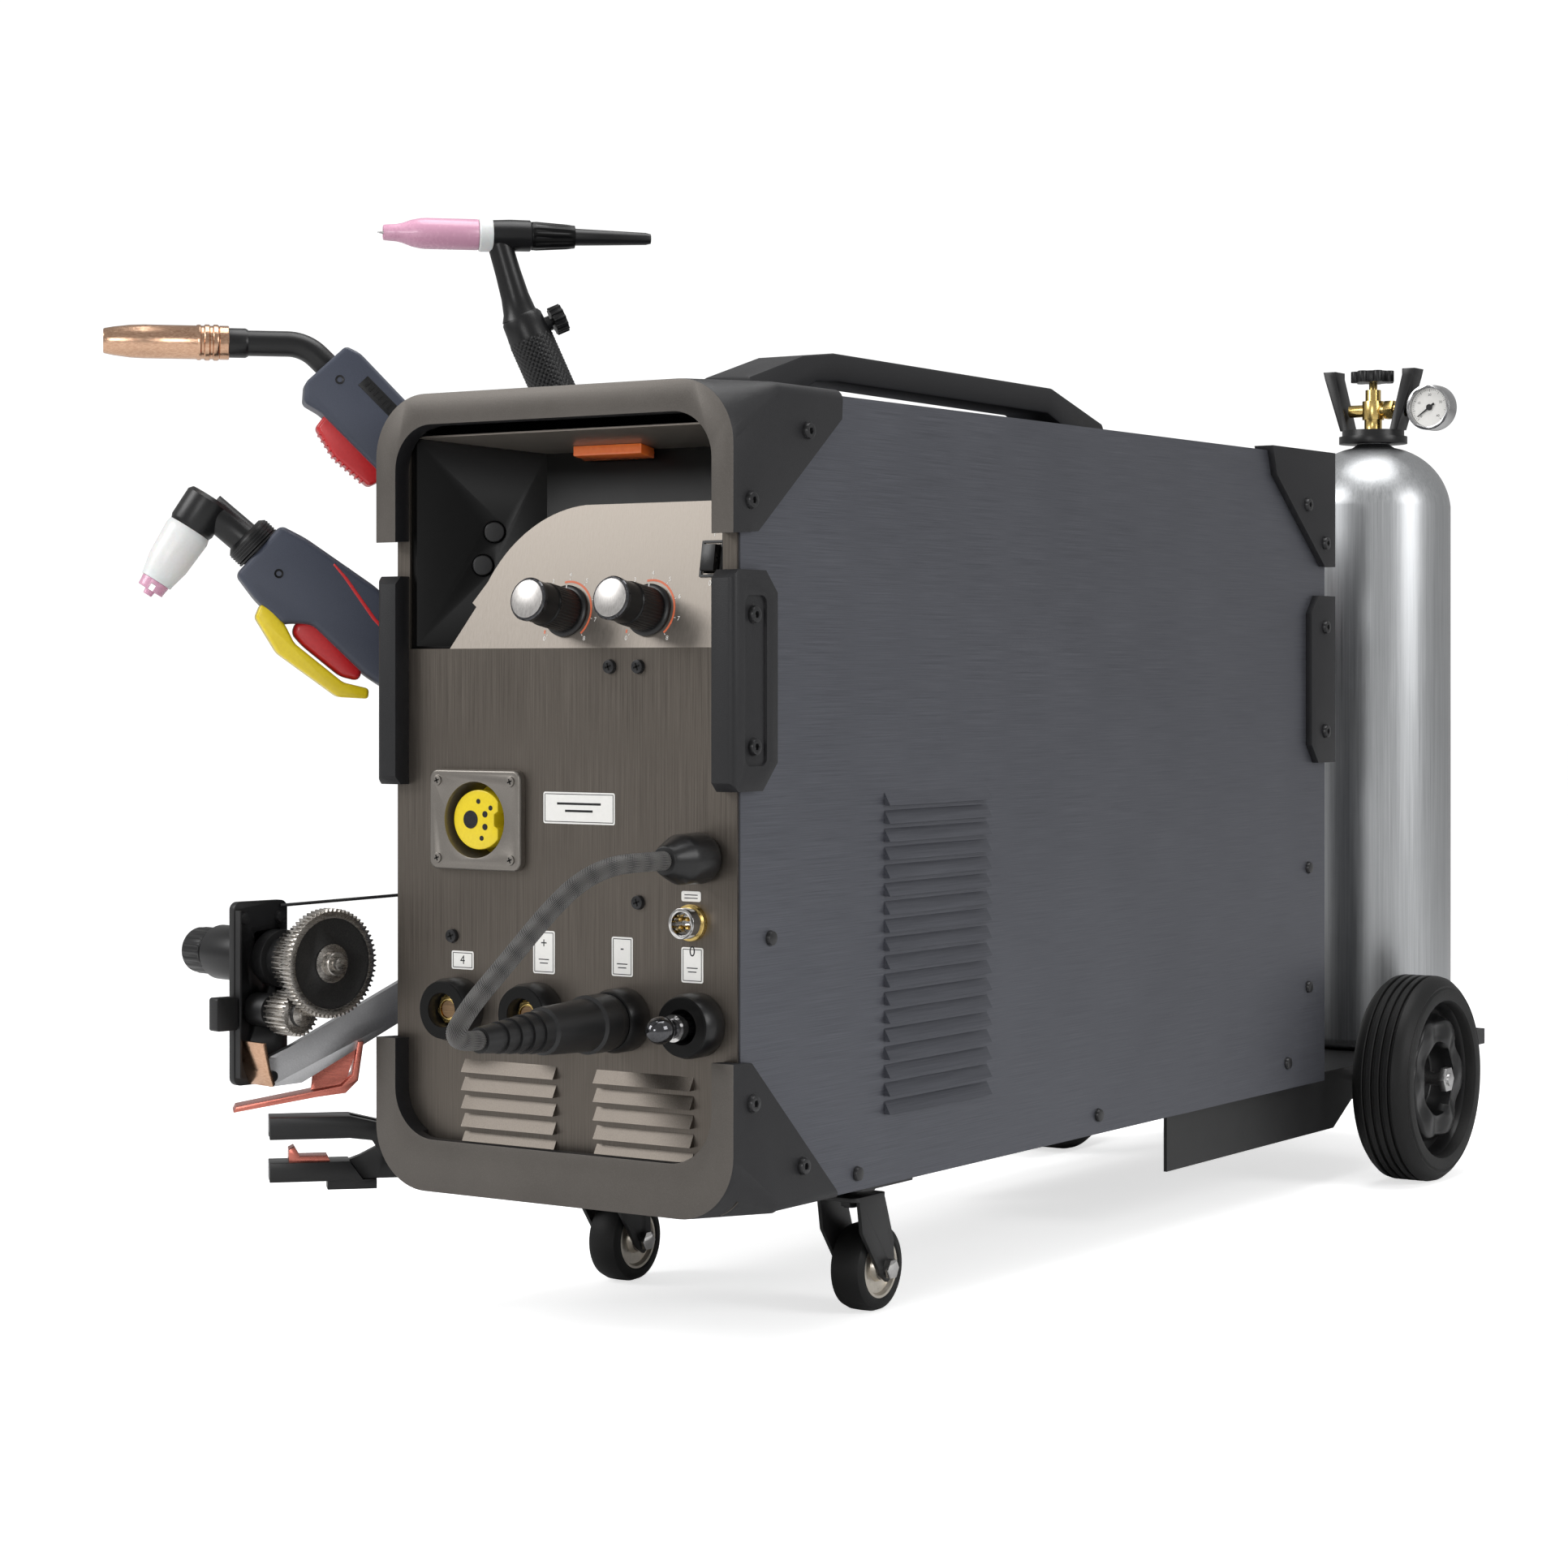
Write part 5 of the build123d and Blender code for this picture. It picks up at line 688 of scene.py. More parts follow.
# painted shade: flat black discs on the front stand for the dark inside of the guide bore and the keyed slots
holeShades = [lathe([(0.02, 0.01), (0.02, 6.4), (0.3, 6.4), (0.3, 5.2), (0.1, 5.0), (0.1, 0.01)],
              facing(insulatorPlan["x"] - 7, insulatorPlan["z"], insulatorPlan["front"]), 48)]
for across, up, size in ((6, 4, 2.3), (6, -5, 2.3), (0, 13, 1.8), (11, 8.5, 1.8), (3, -13, 1.8)):
    seat = facing(insulatorPlan["x"] + across, insulatorPlan["z"] + up, insulatorPlan["front"])
    holeShades.append(lathe([(0.02, 0.01), (0.02, size), (0.2, size), (0.2, 0.01)], seat, 32))
addPiece("insulator_hole_shades", joined(*holeShades), "screwBlack")
dress("socket_shells", "mouldedBlack", bevel=0.6)
dress("socket_contacts", "brassHex", bevel=0.6)

# hexagonal brass collars in the two open sockets
socketPlan = {"height": 228, "open": (-91, -20), "all": (-91, -20, 55, 117)}
collars = []
for x in socketPlan["open"]:
    seat = seatOn((x, -9, socketPlan["height"]), (1, 0, 0.18), (0, -1, 0))
    hexagon = [(11 * math.cos(math.pi * n / 3), 11 * math.sin(math.pi * n / 3)) for n in range(6)]
    collars.append(moulded(hexagon, seat, 3, 0.8))
    collars.append(lathe([(12, 6.6), (12, 8.2), (12.9, 8.2), (13.3, 7.6), (13.3, 6.6)],
                         facing(x, socketPlan["height"]), 48))
addPiece("socket_collars", joined(*collars), "brassHex")
bores = [lathe([(12.02, 0.01), (12.02, 6.0), (12.2, 6.0), (12.2, 0.01)],
               facing(x, socketPlan["height"]), 48) for x in socketPlan["open"]]
addPiece("socket_bores", joined(*bores), "windings")
dress("pipe_couplings", [
    ("brightChrome", (111.7, 0, 296.7)), ("darkChrome", (117, -16, 228)),
    ("mouldedBlack", (-80, 930, 480)), ("brassHex", (-80, 930, 400)),
], bevel=0.3)
print("connectors dressed")

# running gear, cylinder and its fittings
dress("axle_and_caster_mounts", [("zincPlate", (0, 1040, 94)), ("powderBlack", (110, 200, 90)),
                                 ("powderBlack", (-110, 200, 90))], bevel=0.5)
for side in (-1, 1):
    word = "left" if side < 0 else "right"
    dress("caster_fork_" + word, [
        ("powderBlack", (side * 110, 205, 60)), ("brightChrome", (side * 110, 222, 32)),
    ], bevel=0.6)
dress("gas_cylinder", "bottleAluminium")
dress("cylinder_collar", "mouldedBlack", bevel=1.2)
dress("cylinder_valve", "brassHex", bevel=0.5)
dress("valve_handwheel", "mouldedBlack", bevel=1.0)
dress("pressure_gauge", "gaugeCase", bevel=0.5)
dress("gauge_needle", "screwBlack")
print("running gear and cylinder dressed")

# rear wheels: a grooved tyre on a dished rim with a lobed face
wheelPlan = {"x": 190, "y": 1040, "radius": 94, "half": 28, "bead": 70.1, "lobes": 6, "lobeDepth": 7.0}


def tyreProfile():
    half, radius, bead = wheelPlan["half"], wheelPlan["radius"], wheelPlan["bead"]
    points = [(-half + 4, bead), (-half + 0.6, bead + 2), (-half, bead + 7), (-half + 1.4, bead + 15)]
    points += [(-half + 5, radius - 4.5), (-half + 9, radius - 1.2)]
    for groove in (-12, -4, 4, 12):
        points += [
            (groove - 2.1, radius - 0.1), (groove - 1.5, radius - 0.6), (groove - 1.1, radius - 2.9),
            (groove + 1.1, radius - 2.9), (groove + 1.5, radius - 0.6), (groove + 2.1, radius - 0.1),
        ]
    points += [(half - 9, radius - 1.2), (half - 5, radius - 4.5), (half - 1.4, bead + 15)]
    points += [(half - 1.8, bead + 13), (half - 0.4, bead + 11.5), (half, bead + 7), (half - 0.6, bead + 2)]
    points += [(half - 4, bead), (-half + 4, bead)]
    return points


def smooth(low, high, value):
    share = max(0.0, min(1.0, (value - low) / (high - low)))
    return share * share * (3 - 2 * share)


def rimPlace(along, around):
    # from the rim's edge inwards: a gutter, the lobed shoulder, then a deep hub well
    angle = 2 * math.pi * around
    radius = 70.0 - 64.0 * along
    lobe = math.cos(wheelPlan["lobes"] * angle)
    shoulder = 56.0 + 3.2 * lobe
    height = 18.0 - 11.0 * smooth(70, 66, radius)
    height += 14.0 * smooth(shoulder + 5, shoulder - 3, radius)
    height += wheelPlan["lobeDepth"] * 0.35 * lobe * smooth(58, 46, radius) * smooth(30, 40, radius)
    height -= 21.0 * smooth(34, 30.5, radius)
    return (radius * math.cos(angle), radius * math.sin(angle), height)


rimBack = [(18, 70), (-18, 70), (-18, 66), (-10, 60), (-8, 30), (-24, 22), (-24, 6.2), (0, 6.2), (0, 6.0)]
axleCap = [(-1, 6.4), (0, 10.5), (2.2, 10.5), (3.4, 9.4), (3.4, 6), (8.5, 5.6), (9.5, 4.4), (9.5, 0.01)]
for way, word in ((-1, "left"), (1, "right")):
    body = "rear_wheel_" + word
    hub = (way * wheelPlan["x"], wheelPlan["y"], wheelPlan["radius"])
    seat = aim(hub, (way, 0, 0))
    addPiece("tyre_" + word, lathe(tyreProfile(), seat, 128), "tyreRubber", body, [body])
    addPiece("rim_face_" + word, wrapped(46, 144, rimPlace, seat), "mouldedBlack", body, sharp=60)
    addPiece("rim_back_" + word, lathe(rimBack, seat), "mouldedBlack", body)
    addPiece("axle_cap_" + word, lathe(axleCap, seat, 48), "brightChrome", body)
print("rear wheels made")

# caster wheels: a rounded tread on a pale core with a plated hub
casterTread = [(-12.4, 22), (-13.6, 23.6), (-13.6, 27), (-11.6, 30.2), (-7, 31.8), (0, 32)]
casterTread += [(-along, radius) for along, radius in reversed(casterTread[:-1])] + [(-12.4, 22)]
casterCore = [(-12.6, 4.2), (-13.4, 9), (-9.6, 10.6), (-9.6, 18.6), (-12.6, 20.2), (-12.6, 22.1)]
casterCore += [(-along, radius) for along, radius in reversed(casterCore)] + [(-12.6, 4.2)]
for way, word in ((-1, "left"), (1, "right")):
    body = "caster_wheel_" + word
    seat = aim((way * 110, 222, 32), (way, 0, 0))
    addPiece("caster_tread_" + word, lathe(casterTread, seat, 96), "tyreRubber", body, [body])
    addPiece("caster_core_" + word, lathe(casterCore, seat, 96), "rimCream", body)

# knobs: a fluted grip on a skirt, with a turned cap and a pointer
lean = math.radians(10)
faceNormal = (0, -math.cos(lean), math.sin(lean))
faceSeat = seatOn((0, 0, 483), (1, 0, 0), faceNormal)
knobPlan = {"places": (("current_knob", 1.5, 26), ("voltage_knob", 72.5, 26)), "radius": 15.3}


def knobSeat(across, up):
    return faceSeat @ Matrix.Translation((across, up, 0))


def gripPlace(along, around):
    angle = 2 * math.pi * around
    flute = 0.45 * (1 + math.cos(40 * angle)) / 2 * smooth(0, 0.06, along) * smooth(0.62, 0.56, along)
    radius = knobPlan["radius"] - 0.9 * smooth(0.60, 0.64, along) - flute
    return (radius * math.cos(angle), radius * math.sin(angle), 3.6 + 37.6 * along)


for body, across, up in knobPlan["places"]:
    seat = knobSeat(across, up)
    skirt = lathe([(0.6, 0.01), (0.6, 18.2), (2.4, 18.2), (3.4, 17), (3.6, 15.2), (3.6, 0.01)], seat)
    grip = wrapped(48, 240, gripPlace, seat)
    addPiece("knob_" + body, joined(skirt, grip), "mouldedBlack", body, [body], sharp=50)
    collar = [(41.1, 0.01), (41.1, 14.4), (42, 15.1), (44.4, 15.1), (45.2, 14.5), (45.2, 13.4), (45.0, 13.2)]
    addPiece("knob_collar_" + body, lathe(collar, seat), "darkChrome", body)
    cap = [(45.0, 13.3), (45.8, 13.2), (46.0, 12.8), (46.0, 0.01)]
    addPiece("knob_cap_" + body, lathe(cap, seat), "turnedCap", body)
    pointer = moulded(oblong(-0.45, 0.45, 14.9, 17.9), seat, 0.06, 0, lift=3.5)
    addPiece("knob_pointer_" + body, pointer, "printWhite", body)
print("knobs made")


def arcStrip(seat, radius, width, start, turn, lift, steps=48):
    mesh = bmesh.new()
    inner, outer = radius - width / 2, radius + width / 2
    corners = ((inner, 0, 0), (outer, 0, 0), (outer, 0, lift), (inner, 0, lift))
    verts = [mesh.verts.new(corner) for corner in corners]
    edges = [mesh.edges.new(pair) for pair in zip(verts, verts[1:] + verts[:1])]
    bmesh.ops.rotate(mesh, verts=verts, cent=(0, 0, 0), matrix=Matrix.Rotation(math.radians(start), 3, "Z"))
    bmesh.ops.spin(
        mesh, geom=verts + edges, cent=(0, 0, 0), axis=(0, 0, 1), dvec=(0, 0, 0),
        angle=math.radians(turn), steps=steps,
    )
    bmesh.ops.holes_fill(mesh, edges=mesh.edges)
    bmesh.ops.recalc_face_normals(mesh, faces=mesh.faces)
    mesh.transform(seat)
    return mesh


def digits(word, seat, size, lift):
    curve = bpy.data.curves.new("digits", "FONT")
    curve.body = word
    curve.size = size
    curve.extrude = lift / 2
    curve.align_x = "CENTER"
    curve.align_y = "CENTER"
    carrier = bpy.data.objects.new("digits", curve)
    scene.collection.objects.link(carrier)
    bpy.context.view_layer.update()
    flat = bpy.data.meshes.new_from_object(carrier)
    bpy.data.objects.remove(carrier)
    mesh = bmesh.new()
    mesh.from_mesh(flat)
    bpy.data.meshes.remove(flat)
    mesh.transform(seat)
    return mesh


def bar(seat, x, y, wide, high, lift):
    outline = oblong(x - wide / 2, x + wide / 2, y - high / 2, y + high / 2)
    return moulded(outline, seat, lift / 2, 0, lift=lift / 2)


# printed scales round the knobs: an orange arc and a ring of digits
scalePlan = {"arcRadius": 21.0, "arcWidth": 1.5, "digitRadius": 26.0, "digitSize": 4.4, "lift": 0.12}
for body, across, up in knobPlan["places"]:
    seat = knobSeat(across, up)
    arc = arcStrip(seat, scalePlan["arcRadius"], scalePlan["arcWidth"], -48, 150, scalePlan["lift"])
    dot = bar(seat, -17.5, -14.5, 1.2, 2.4, scalePlan["lift"])
    addPiece("scale_arc_" + body, joined(arc, dot), "printOrange")
    marks = []
    for value in range(9):
        angle = math.radians(228 - 34.5 * value)
        reach = scalePlan["digitRadius"]
        place = Matrix.Translation((reach * math.cos(angle), reach * math.sin(angle), 0.06))
        marks.append(digits(str(value), seat @ place, scalePlan["digitSize"], scalePlan["lift"]))
        tick = seat @ Matrix.Rotation(angle, 4, "Z")
        marks.append(bar(tick, reach - 3.4, 0, 1.4, 0.4, scalePlan["lift"]))
    addPiece("scale_marks_" + body, joined(*marks), "printWhite")

# a bezel round the rocker, and short marks above and below it
rockerSeat = knobSeat(121, 61)
bezel = [bar(rockerSeat, side * 8.2, 0, 1.6, 25, 1.2) for side in (-1, 1)]
bezel += [bar(rockerSeat, 0, side * 11.8, 14.8, 1.6, 1.2) for side in (-1, 1)]
addPiece("rocker_bezel", joined(*bezel), "mouldedBlack")
rockerMarks = [digits("1", rockerSeat @ Matrix.Translation((0, 17, 0.06)), 5, 0.12),
               digits("0", rockerSeat @ Matrix.Translation((0, -17, 0.06)), 5, 0.12)]
addPiece("rocker_marks", joined(*rockerMarks), "printWhite")

# label frames and plain signs
labelPlan = {"places": ((-88, 262, 20, 13), (-15, 271, 19, 30), (53, 271, 18, 27), (112, 268, 18, 24)),
             "line": 0.5, "inset": 1.4, "lift": 0.08}
labelSeat = seatOn((0, -0.4, 0), (1, 0, 0), (0, -1, 0))


def frameBars(x, z, wide, high):
    line, lift, inset = labelPlan["line"], labelPlan["lift"], labelPlan["inset"]
    made = []
    for side in (-1, 1):
        made.append(bar(labelSeat, x + side * (wide / 2 - inset), z, line, high - 2 * inset, lift))
    for side in (-1, 1):
        made.append(bar(labelSeat, x, z + side * (high / 2 - inset), wide - 2 * inset, line, lift))
    return made


prints = []
for x, z, wide, high in labelPlan["places"]:
    prints += frameBars(x, z, wide, high)
prints.append(digits("4", labelSeat @ Matrix.Translation((-88, 262, 0.04)), 9, 0.08))
for x, sign in ((-15, "+"), (53, "-"), (112, "0")):
    prints.append(digits(sign, labelSeat @ Matrix.Translation((x, 277, 0.04)), 10, 0.08))
    prints += [bar(labelSeat, x, 266 - 2.6 * row, 9 - 2 * row, 0.7, 0.08) for row in range(2)]
prints += frameBars(15.6, 372, 62, 22)
prints += [bar(labelSeat, 15.6, 375 - 5 * row, 38 - 14 * row, 1.6, 0.08) for row in range(2)]
prints += [bar(labelSeat, 111, 315.5 - 2.2 * row, 11, 0.6, 0.08) for row in range(2)]
addPiece("label_prints", joined(*prints), "screwBlack")

# crossed slots in the screw heads, drawn as raised near-black marks: painted shade for the grooves
screwPlan = {"flange": (33, 27.5), "front": ((42.5, 470), (66.8, 470), (66.8, 308.8), (-97.3, 278.9))}


def crossSlot(x, z, y, size):
    seat = seatOn((x, y, z), (1, 0, 0.35), (0, -1, 0))
    return [bar(seat, 0, 0, size, size * 0.22, 0.12), bar(seat, 0, 0, size * 0.22, size, 0.12)]


slots = []
for side in (-1, 1):
    for rise in (-1, 1):
        slots += crossSlot(insulatorPlan["x"] + side * screwPlan["flange"][0],
                           insulatorPlan["z"] + rise * screwPlan["flange"][1], -7.62, 4.2)
for x, z in screwPlan["front"]:
    slots += crossSlot(x, z, -2.82, 5.4)
# painted shade: the slot marks are darker than the screw heads to stand for the shade in the grooves
addPiece("screw_slot_painted_shade", joined(*slots), "pianoBlack")

# trims on the round connectors
controlPlan = {"x": 111.7, "z": 296.7, "pinReach": 4}
ring = lathe([(0, 10.6), (4.2, 10.6), (4.2, 12.1), (3.6, 12.5), (0, 12.5), (0, 10.6)],
             facing(controlPlan["x"], controlPlan["z"]))
pins = []
for quarter in range(4):
    angle = math.radians(45 + 90 * quarter)
    seat = facing(controlPlan["x"] + controlPlan["pinReach"] * math.cos(angle),
                 controlPlan["z"] + controlPlan["pinReach"] * math.sin(angle))
    pins.append(lathe([(1, 0.01), (1, 1.25), (10.2, 1.25), (11, 0.7), (11, 0.01)], seat, 20))
addPiece("connector_gold", joined(ring, *pins), "brassHex")
band = lathe([(23.8, 7.2), (23.8, 9.2), (30.2, 9.2), (30.2, 6.7), (23.8, 7.2)],
             facing(117, socketPlan["height"]))
addPiece("coupling_band", band, "brightChrome")
rims = []
for x in socketPlan["all"]:
    rims.append(lathe([(18.2, 19.6), (19.6, 20.4), (20.3, 19.6), (20.3, 12.2), (18.8, 12.0), (18.2, 19.6)],
                      facing(x, socketPlan["height"])))
addPiece("socket_rims", joined(*rims), "pianoBlack")
print("face details made")

# gauge dial with ticks and digits
gaugePlan = {"place": (138, 1191, 723), "radius": 18.7, "from": 225, "span": 270}
dialSeat = seatOn(gaugePlan["place"], (1, 0, 0), (0, -1, 0))
dial = lathe([(0.1, 0.01), (0.1, gaugePlan["radius"]), (0.5, gaugePlan["radius"]), (0.5, 2.3)],
             aim(gaugePlan["place"], (0, -1, 0)))
addPiece("gauge_dial", dial, "labelWhite")
marks = []
for step in range(41):
    angle = math.radians(gaugePlan["from"] - gaugePlan["span"] * step / 40)
    long = 2.6 if step % 5 == 0 else 1.4
    tick = dialSeat @ Matrix.Translation((0, 0, 0.5)) @ Matrix.Rotation(angle, 4, "Z")
    marks.append(bar(tick, 17.6 - long / 2, 0, long, 0.35 if step % 5 == 0 else 0.2, 0.06))
    if step % 10 == 0:
        place = Matrix.Translation((12.0 * math.cos(angle), 12.0 * math.sin(angle), 0.53))
        marks.append(digits(str(step), dialSeat @ place, 3.4, 0.06))
addPiece("gauge_marks", joined(*marks), "screwBlack")
print("gauge made")

# torches stand in upright planes turned 45 degrees outwards and forwards
out = Vector((-math.sqrt(0.5), -math.sqrt(0.5), 0))
torchNormal = Vector((-math.sqrt(0.5), math.sqrt(0.5), 0))


def torchPoint(foot, reach, height):
    return Vector((foot[0], foot[1], height)) + out * reach


def gripSeat(foot, reach, height, leanOut, leanUp):
    return seatOn(torchPoint(foot, reach, height), out * leanOut + Vector((0, 0, leanUp)), torchNormal)


# both pistol torches stand over the rack's front foot
rackFoot = (-168, 125)
alongGrip = Matrix.Rotation(math.radians(90), 4, "Y")
migPlan = {"foot": rackFoot, "reach": 119, "height": 695, "lean": (-0.695, -0.719)}
migSeat = gripSeat(migPlan["foot"], migPlan["reach"], migPlan["height"], *migPlan["lean"])
migFront = aim(torchPoint(rackFoot, 191.5, 711), out)
nozzleShell = [
    (0, 9.05), (0, 12.2), (0.5, 12.6), (6.5, 12.6), (7, 12.2), (7.6, 12.9), (8.4, 13.4), (11, 13.4),
    (12, 12.4), (13.6, 12.4), (14.6, 13.4), (17.4, 13.4), (18.4, 12.4), (20, 12.4), (21, 13.2),
    (23, 13.2), (24, 12.5), (62, 12.5), (72, 12.1), (84, 10.6), (90.4, 9.4), (91.5, 8.8), (91.5, 7.6),
    (90.4, 7.4), (72, 9.8), (12, 10.4), (12, 9.05), (0, 9.05),
]
nozzleTip = [(12, 0.7), (12, 6), (30, 6), (32, 4), (82, 3.4), (86, 2.5), (86, 0.7), (12, 0.7)]
addPiece("mig_nozzle_shell", joined(lathe(nozzleShell, migFront, 128), lathe(nozzleTip, migFront, 48)),
         "nozzleCopper", replaces=["mig_nozzle"])
dress("mig_handle", [("mouldedBlack", torchPoint(rackFoot, 150, 706)),
                     (None, torchPoint(rackFoot, 60, 640))])
migShell = moulded([(-1, -19), (10, -23), (78, -23), (150, -18), (152, 14), (148, 20), (100, 25), (92, 27),
                    (88, 32), (82, 28), (22, 29), (8, 33), (-2, 22)], migSeat, 18, 8.5, segments=6)
migTail = lathe([(146, 0.01), (146, 9), (166, 9), (167, 8), (167, 0.01)],
                migSeat @ Matrix.Translation((0, 1, 0)) @ alongGrip, 48)
addPiece("mig_grip_shell", joined(migShell, migTail), "gripNavy")


def roundMark(seat, along, side, base, top):
    # a dished disc on one side of a grip
    profile = [(base, 0.01), (base, 3.4), (top, 3.4), (top, 2.4), (top - 0.5, 1.6), (top - 0.5, 0.01)]
    return lathe(profile, seat @ Matrix.Translation((along, 2, 0)) @ Matrix.Scale(side, 4, (0, 0, 1)), 32)


trims = []
for side in (-1, 1):
    trims.append(moulded([(70, -15.5), (110, -14), (147, -10), (147, -6.5), (108, -11), (70, -13.5)],
                         migSeat, 0.5, 0.3, lift=side * 17.7))
trims.append(moulded([(96, 25.6), (148, 19.2), (147, 22.4), (100, 27.4)], migSeat, 8, 1))
addPiece("mig_grip_trim", joined(*trims), "triggerRed")
plates = [moulded([(26, -15), (66, -15.5), (66, -5.5), (26, -5)], migSeat, 0.5, 0.4, lift=side * 17.8)
          for side in (-1, 1)]
for side in (-1, 1):
    for n in range(8):
        rib = oblong(29 + 4.4 * n, 31.4 + 4.4 * n, -13, -7.5)
        plates.append(moulded(rib, migSeat, 0.4, 0.2, segments=1, lift=side * 18.2))
    plates.append(roundMark(migSeat, 14, side, 17.2, 18.3))
migMarks = joined(*plates)
bmesh.ops.recalc_face_normals(migMarks, faces=migMarks.faces)
addPiece("mig_grip_marks", migMarks, "mouldedBlack")
blade = moulded([(24, 21), (28, 17), (86, 18), (90, 28), (86, 41), (52, 44.2), (27, 39)], migSeat, 12, 4)
ribs = []
for n in range(11):
    along = 32 + 4.6 * n
    edge = 40.2 + 4.0 * min(1, n / 4) - 2.2 * max(0, n - 5) / 5
    rib = oblong(along, along + 2.1, edge - 5, edge + 0.9)
    ribs.append(moulded(rib, migSeat, 11.2, 0.9, segments=3))
addPiece("mig_trigger_blade", joined(blade, *ribs), "triggerRed", "mig_trigger", ["mig_trigger"])
print("gas torch made")

plasmaPlan = {"foot": rackFoot, "reach": 170, "height": 556, "lean": (-0.72, -0.694)}
plasmaSeat = gripSeat(plasmaPlan["foot"], plasmaPlan["reach"], plasmaPlan["height"], *plasmaPlan["lean"])
dress("plasma_cup", [("whiteCeramic", torchPoint(rackFoot, 232.3, 553.3)),
                     ("pinkCeramic", torchPoint(rackFoot, 246.3, 531.3))], bevel=0.5)
dress("plasma_handle", [("mouldedBlack", torchPoint(rackFoot, 200, 575)),
                        (None, torchPoint(rackFoot, 110, 500))], bevel=0.5)
plasmaShell = moulded([
    (-2, -25), (18, -31), (80, -41), (132, -41), (172, -36), (174, -4), (168, 3), (120, 12),
    (66, 12), (56, 20), (50, 27), (24, 28), (0, 24),
], plasmaSeat, 18.5, 9.5, segments=6)
plasmaTail = lathe([(168, 0.01), (168, 9), (189, 9), (190, 8), (190, 0.01)],
                   plasmaSeat @ Matrix.Translation((0, -17, 0)) @ alongGrip, 48)
addPiece("plasma_grip_shell", joined(plasmaShell, plasmaTail), "gripNavy")
trims = []
for side in (-1, 1):
    trims.append(moulded([
        (46, -32), (60, -31), (96, -24), (168, -20), (168, -17.5), (95, -21.5), (58, -29), (46, -30.5),
    ], plasmaSeat, 0.6, 0.35, lift=side * 18.2))
addPiece("plasma_grip_trim", joined(*trims), "triggerRed")


def pebblePlace(along, around):
    # a studded panel along the back of the grip
    bump = 0.35 if (round(along * 60) + round(around * 30)) % 2 else 0.0
    angle = math.radians(-64 + 128 * around)
    back = 20.4 + bump - 3 * (1 - along)
    return (56 + 112 * along, -20.5 - back * math.cos(angle), (17.2 + bump) * math.sin(angle))


studs = wrapped(60, 30, pebblePlace, plasmaSeat)
addPiece("plasma_grip_studs", studs, "mouldedBlack", sharp=80)
dotMesh = joined(*[roundMark(plasmaSeat, 22, side, 17.6, 18.8) for side in (-1, 1)])
bmesh.ops.recalc_face_normals(dotMesh, faces=dotMesh.faces)
addPiece("plasma_grip_dots", dotMesh, "pianoBlack")
collar = []
for n in range(5):
    rib = [(n * 2.2 - 12, 18.0), (n * 2.2 - 11.4, 19.0), (n * 2.2 - 10.4, 19.0), (n * 2.2 - 9.8, 18.0)]
    collar.append(lathe(rib, plasmaSeat @ Matrix.Translation((0, -2, 0)) @ alongGrip, 64))
addPiece("plasma_collar_ribs", joined(*collar), "plugRubber")
pull = moulded([(56, 19), (62, 11), (70, 8), (116, 10), (120, 18), (108, 25), (72, 28), (60, 27)],
               plasmaSeat, 12, 4)
addPiece("plasma_trigger_pull", pull, "triggerRed", "plasma_trigger", ["plasma_trigger"])
guard = moulded([(28, 27), (36, 24), (52, 26), (66, 31), (112, 27), (129, 17), (134, 23), (117, 37.5),
                 (62, 45), (32, 37)], plasmaSeat, 17, 2.6)
addPiece("plasma_safety_lever", guard, "signalYellow", "plasma_lever", ["plasma_lever"])
print("plasma torch made")

tigFoot = (-200, 292)
tigSeat = gripSeat(tigFoot, 53, 750, -0.41, -0.912)
tigAxis = aim(torchPoint(tigFoot, 0, 814.5), out)
tigWay = out * -0.41 + Vector((0, 0, -0.912))
tigCup = [
    (87, 3.2), (87, 11.6), (88, 12.3), (128, 12.3), (133, 12.0), (140, 10.6), (147, 8.0), (152, 6.9),
    (161.5, 6.2), (162.4, 5.6), (162.2, 4.6), (158, 4.2), (150, 4.2), (130, 8), (95, 8), (95, 3.2), (87, 3.2),
]
addPiece("tig_cup_shell", lathe(tigCup, tigAxis, 96), "pinkCeramic", replaces=["tig_cup"])
tigRing = [(75.7, 3), (75.7, 12.2), (76.6, 13.4), (85.7, 13.4), (86.8, 12.4), (86.8, 3), (75.7, 3)]
addPiece("tig_ring_seal", lathe(tigRing, tigAxis, 96), "whiteCeramic")
electrode = [(90, 0.01), (90, 1.2), (163, 1.2), (167, 0.3), (167, 0.01)]
addPiece("tig_electrode_rod", lathe(electrode, tigAxis, 24), "zincPlate")
headPart = lathe([(44.6, 0.01), (44.6, 11), (46, 12.4), (62, 12.6), (75.5, 11.9), (75.5, 0.01)], tigAxis)
neckWay = out * -17 + Vector((0, 0, -58))
neckPart = lathe([(0, 0.01), (0, 9.8), (24, 10.2), (44, 11.2), (56, 13), (62, 15.6), (62, 0.01)],
                 aim(torchPoint(tigFoot, 70, 808), neckWay))
gripPart = lathe([
    (-1, 0.01), (-1, 14.6), (2, 16.4), (12, 16.9), (15, 17.3), (150, 17.3), (152, 16), (152, 9),
    (170, 9), (170, 0.01),
], aim(torchPoint(tigFoot, 53, 750), tigWay), 96)
stubWay = out * -0.912 + Vector((0, 0, 0.41))
stubPart = lathe([(0, 0.01), (0, 6), (18.5, 6), (18.5, 3), (20.2, 3), (20.2, 0.01)],
                 aim(torchPoint(tigFoot, 46, 738), stubWay), 48)
capPart = lathe([
    (0, 0.01), (0, 10.4), (3, 11.0), (30, 8.6), (35, 6.8), (60, 6.0), (92, 4.9), (96, 3.9), (96, 0.01),
], aim(torchPoint(tigFoot, 44.4, 814.5), -out))
